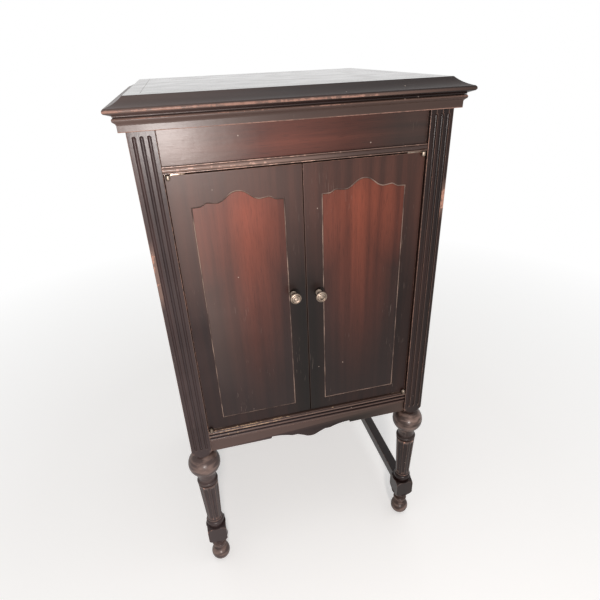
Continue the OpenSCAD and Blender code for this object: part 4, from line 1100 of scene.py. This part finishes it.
def build_lid():
    """Moulded lid frame, a cove falling to a rounded thumb edge, and the board it holds."""
    faces_low, faces_high = case_faces()
    low, high = corners("lid_frame")
    height = high.z - low.z
    over = faces_low.x - low.x
    rail, cove_r = 30.0, 60
    # The cove is an arc of that radius between the flat top's edge and the thumb edge.
    toe = Vector((over - 2, 13.3))
    brow = Vector((-5, height))
    chord = (toe - brow).length
    up = Vector((brow.y - toe.y, toe.x - brow.x)) / chord
    middle = (toe + brow) / 2 + up * sqrt(cove_r ** 2 - chord ** 2 / 4)
    turns = [-degrees(Vector((1, 0)).angle_signed(point - middle)) for point in (brow, toe)]
    cove = arc(*middle, cove_r, *turns, 14)
    section = [(-rail, 0), (over - 11.5, 0), (over - 11.5, 2), (over - 6.5, 4),
               *arc(over - 4.2, 9.3, 4.2, -84, 62, 12), *reversed(cove), (-rail, height)]
    section = softened(section, 0.8)
    bm = mitred([(o, low.z + z) for o, z in section], faces_low, faces_high)
    board(bm, (faces_low.x + rail, faces_high.y - rail, low.z),
          (faces_high.x - rail, high.y, high.z), 0.5)
    for face in bm.faces:
        if face.calc_center_median().z > high.z - 0.05:
            face.material_index = 1

    def rub(co, amount):
        proud = max(faces_low.x - co.x, co.x - faces_high.x, faces_low.y - co.y)
        if proud < 0:
            return 0.0
        # The thumb edge is rubbed bare on its outermost line, least at its right.
        ridge = min(1.0, max(0.0, (proud - over + 0.9) / 0.6))
        if 60 <= co.x < 200 or co.x < -200:
            return ridge * 0.88
        return ridge * (1.0 if co.x < 60 else 0.2)

    finished(bm, "moulded_lid_frame", "lid", MAHOGANY, ["lid_frame"], "moulding", "top", rub=rub)
    low, high = corners("lid_panel")
    finished(board(bmesh.new(), low, high, 0.6), "lid_board", "lid", MAHOGANY, ["lid_panel"], "top")
    recoat("brass", "lid_hinge_leaves", "case_hinge_leaves", "stay_bracket", "lid_stay")


# ---------- inside ----------

def turned_disc(node_name, profile, name, slot, finish):
    """A turned disc that replaces a node of the turntable, on that node's axis."""
    low, high = corners(node_name)
    middle = (low + high) / 2
    bm = turned(profile, 160)
    bmesh.ops.translate(bm, vec=(middle.x, middle.y, low.z), verts=bm.verts)
    finished(bm, name, "turntable", slot, [node_name], finish, turning=True)


def build_turntable():
    """Turntable with a rolled rim, its felt, and the finish of arm, spindle and crank."""
    low, high = corners("platter")
    r, t = (high.x - low.x) / 2, high.z - low.z
    turned_disc("platter", [
        (5.2, 0), (r - 5, 0), *arc(r - 3, 3, 3, -90, 0, 6), *arc(r - 2.4, t - 2.4, 2.4, 0, 90, 6),
        (r - 4.5, t), (r - 4.9, t - 0.8), (5.2, t - 0.8), (5.2, 0)],
        "rolled_turntable", "turntable_metal", "rim")
    low, high = corners("platter_felt")
    r, t = (high.x - low.x) / 2, high.z - low.z
    turned_disc("platter_felt", [
        (5.6, 0), (r - 0.4, 0), (r, 0.5), (r - 0.3, t - 0.3), (r - 1, t), (6.4, t),
        (5.8, t - 0.4), (5.6, 0)],
        "felt_mat", "green_felt", "felt")
    recoat("nickel", "spindle", "tone_arm", "sound_box", "brake_lever", "speed_dial", "crank",
           "winding_shaft")
    recoat("steel", "needle")


def finish_inside():
    """Finishes the nodes of panels, store, horn and motor, whose shapes are right."""
    recoat("case", "side_panel_left", "side_panel_right", "rear_top_rail", "grille")
    recoat("back", "back_panel")
    recoat("bare", "bottom_board", "horn_shelf", "record_dividers", "motor_board_cleats",
           "horn_top_board", "horn_side_boards")
    recoat("deck", "motor_board")
    recoat("brass", "door_catches", "needle_cups", "escutcheon", "door_pivots_left",
           "door_pivots_right")
    recoat("pivots", "case_pivots")
    recoat("gears", "spring_barrel", "winding_wheel", "governor")
    recoat("iron", "motor_frame", "horn_throat", "tone_arm_base")
    recoat("handle", "crank_handle")


# ---------- stage ----------

# The camera stands where the fit to the photograph's outlines puts it, in millimetres.
CAMERA_PLACE = (-199.198, -1057.43, 1197.408)
CAMERA_RIGHT = (0.96878, -0.24499, -0.03791)
CAMERA_UP = (0.14935, 0.45472, 0.87802)
SENSOR_WIDTH, LENS = 36, 27.82


def build_camera():
    """Camera at the photograph's viewing angle."""
    camera = bpy.data.objects.new("camera", bpy.data.cameras.new("camera"))
    right, up = Vector(CAMERA_RIGHT), Vector(CAMERA_UP)
    turn = Matrix((right, up, right.cross(up))).transposed().to_4x4()
    camera.matrix_world = Matrix.Translation(Vector(CAMERA_PLACE) * MM) @ turn
    camera.data.sensor_width = SENSOR_WIDTH
    camera.data.lens = LENS
    camera.data.clip_start = 0.05
    bpy.context.scene.collection.objects.link(camera)
    bpy.context.scene.camera = camera


def build_floor():
    """A wide floor under the cabinet."""
    bm = bmesh.new()
    bmesh.ops.create_grid(bm, x_segments=1, y_segments=1, size=9)
    mesh = bpy.data.meshes.new("floor")
    bm.to_mesh(mesh)
    bm.free()
    floor = bpy.data.objects.new("floor", mesh)
    bpy.context.scene.collection.objects.link(floor)
    mesh.materials.append(floor_paint())


def area_light(name, place, target, size, power, tint=(1, 1, 1)):
    """A rectangular lamp at a place in metres, turned to a target, unseen by the camera."""
    light = bpy.data.lights.new(name, "AREA")
    light.shape = "RECTANGLE"
    light.size, light.size_y = size
    light.energy = power
    light.color = tint
    lamp = bpy.data.objects.new(name, light)
    lamp.location = place
    lamp.rotation_euler = (Vector(target) - Vector(place)).to_track_quat("-Z", "Y").to_euler()
    lamp.visible_camera = False
    bpy.context.scene.collection.objects.link(lamp)


def build_lights():
    """A lamp in front, a little to the left, whose glare lies on the left of the frieze, and
    a wide soft light overhead, for the lid and the mouldings."""
    area_light("key", place=(-0.30, -2.6, 0.80), target=(-0.05, -0.26, 0.8), size=(0.24, 0.24),
               power=44, tint=(1, 0.93, 0.9))
    area_light("overhead", place=(0.2, -0.3, 3.0), target=(0.0, 0.0, 1.0), size=(1.8, 1.8), power=9)


def seen_directly(add):
    """1 where the camera, a reflection or glass looks at the floor or the world."""
    rays = add("LightPath", out=None).outputs
    through = add("Math", (rays["Is Glossy Ray"], rays["Is Transmission Ray"]), operation="MAXIMUM")
    return add("Math", (rays["Is Camera Ray"], through), operation="MAXIMUM")


def floor_paint():
    """Matt pale floor. The camera sees it near white, and it keeps the cabinet's shadow."""
    material, add = blank("pale_floor")
    seen = seen_directly(add)
    base = rgba(bpy.context.scene.cabinet_colours.floor)
    darker = [c * 0.985 for c in base[:3]] + [1.0]
    shade = coats_over(add, base, (pattern(add, (300, 300, 300)), darker))
    lit = add("Math", (seen, 0.38), operation="MULTIPLY")
    painted = add("BsdfPrincipled", {
        "Base Color": shade, "Roughness": 0.9, "Specular IOR Level": 0.1,
        "Emission Color": (1, 1, 1, 1), "Emission Strength": lit})
    # Far from the cabinet the floor fades to plain white, so that no horizon shows.
    away = add("VectorMath", [add("TexCoord", out="Object")], "Value", operation="LENGTH")
    away = add("Math", (add("MapRange", (away, 0.8, 2.2)), seen), operation="MULTIPLY")
    plain = add("Emission", {"Color": (1, 1, 1, 1)})
    add("OutputMaterial", {"Surface": add("MixShader", (away, painted, plain))}, None)
    return material


def build_world():
    """Plain pale world: white to the camera and in reflections, softer as a light."""
    world = bpy.data.worlds.new("studio")
    bpy.context.scene.world = world
    world.use_nodes = True
    world.node_tree.nodes.clear()
    add = partial(node, world.node_tree)
    strength = add("MapRange", (seen_directly(add), 0.0, 1.0, 0.4, 1.0))
    back = add("Background", {"Color": (1, 1, 1, 1), "Strength": strength})
    add("OutputWorld", {"Surface": back}, None)


# ---------- add-on ----------

class CABINET_OT_stage(bpy.types.Operator):
    """Adds camera, floor, lights and world."""
    bl_idname = "cabinet.stage"
    bl_label = "Stage"

    def execute(self, context):
        context.scene.view_settings.view_transform = "Standard"
        build_camera()
        build_floor()
        build_lights()
        build_world()
        return {"FINISHED"}


class CABINET_OT_legs(bpy.types.Operator):
    """Adds the turned legs and their stretchers."""
    bl_idname = "cabinet.legs"
    bl_label = "Legs"

    def execute(self, context):
        build_legs(context.scene.cabinet_sizes)
        return {"FINISHED"}


class CABINET_OT_posts(bpy.types.Operator):
    """Adds the four corner posts."""
    bl_idname = "cabinet.posts"
    bl_label = "Posts"

    def execute(self, context):
        build_posts(context.scene.cabinet_sizes)
        return {"FINISHED"}


class CABINET_OT_cornice(bpy.types.Operator):
    """Adds the cornice."""
    bl_idname = "cabinet.cornice"
    bl_label = "Cornice"

    def execute(self, context):
        build_cornice()
        return {"FINISHED"}


class CABINET_OT_front(bpy.types.Operator):
    """Adds frieze, strip, beaded rail and apron."""
    bl_idname = "cabinet.front"
    bl_label = "Front rails"

    def execute(self, context):
        build_frieze()
        build_strip()
        build_base_rail()
        build_apron(context.scene.cabinet_sizes)
        return {"FINISHED"}


class CABINET_OT_doors(bpy.types.Operator):
    """Adds both doors with their cut panels."""
    bl_idname = "cabinet.doors"
    bl_label = "Doors"

    def execute(self, context):
        build_doors(context.scene.cabinet_sizes)
        return {"FINISHED"}


class CABINET_OT_knobs(bpy.types.Operator):
    """Adds the two brass knobs."""
    bl_idname = "cabinet.knobs"
    bl_label = "Knobs"

    def execute(self, context):
        build_knobs()
        return {"FINISHED"}


class CABINET_OT_lid(bpy.types.Operator):
    """Adds the lid's frame and board."""
    bl_idname = "cabinet.lid"
    bl_label = "Lid"

    def execute(self, context):
        build_lid()
        return {"FINISHED"}


class CABINET_OT_turntable(bpy.types.Operator):
    """Adds turntable and felt, and finishes the arm and the crank."""
    bl_idname = "cabinet.turntable"
    bl_label = "Turntable"

    def execute(self, context):
        build_turntable()
        return {"FINISHED"}


class CABINET_OT_inside(bpy.types.Operator):
    """Finishes panels, horn, record store and motor."""
    bl_idname = "cabinet.inside"
    bl_label = "Inside"

    def execute(self, context):
        finish_inside()
        return {"FINISHED"}


OPERATORS = [
    CABINET_OT_stage, CABINET_OT_legs, CABINET_OT_posts, CABINET_OT_cornice,
    CABINET_OT_front, CABINET_OT_doors, CABINET_OT_knobs, CABINET_OT_lid,
    CABINET_OT_turntable, CABINET_OT_inside,
]


class CABINET_PT_pieces(bpy.types.Panel):
    """Lists the cabinet's sizes, colours and operators."""
    bl_label = "Cabinet"
    bl_space_type = "VIEW_3D"
    bl_region_type = "UI"
    bl_category = "Cabinet"

    def draw(self, context):
        for group in (context.scene.cabinet_sizes, context.scene.cabinet_colours):
            for name in group.__annotations__:
                self.layout.prop(group, name)
        for item in OPERATORS:
            self.layout.operator(item.bl_idname)


CLASSES = [CabinetSizes, CabinetColours, *OPERATORS, CABINET_PT_pieces]


def register():
    """Registers the classes and gives the scene its sizes and colours."""
    for item in CLASSES:
        bpy.utils.register_class(item)
    bpy.types.Scene.cabinet_sizes = bpy.props.PointerProperty(type=CabinetSizes)
    bpy.types.Scene.cabinet_colours = bpy.props.PointerProperty(type=CabinetColours)


def unregister():
    """Takes away what `register` added, in reverse order."""
    del bpy.types.Scene.cabinet_colours
    del bpy.types.Scene.cabinet_sizes
    for item in reversed(CLASSES):
        bpy.utils.unregister_class(item)


def main():
    """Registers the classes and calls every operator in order."""
    register()
    for item in OPERATORS:
        group, name = item.bl_idname.split(".")
        getattr(getattr(bpy.ops, group), name)()


if __name__ == "__main__":
    main()
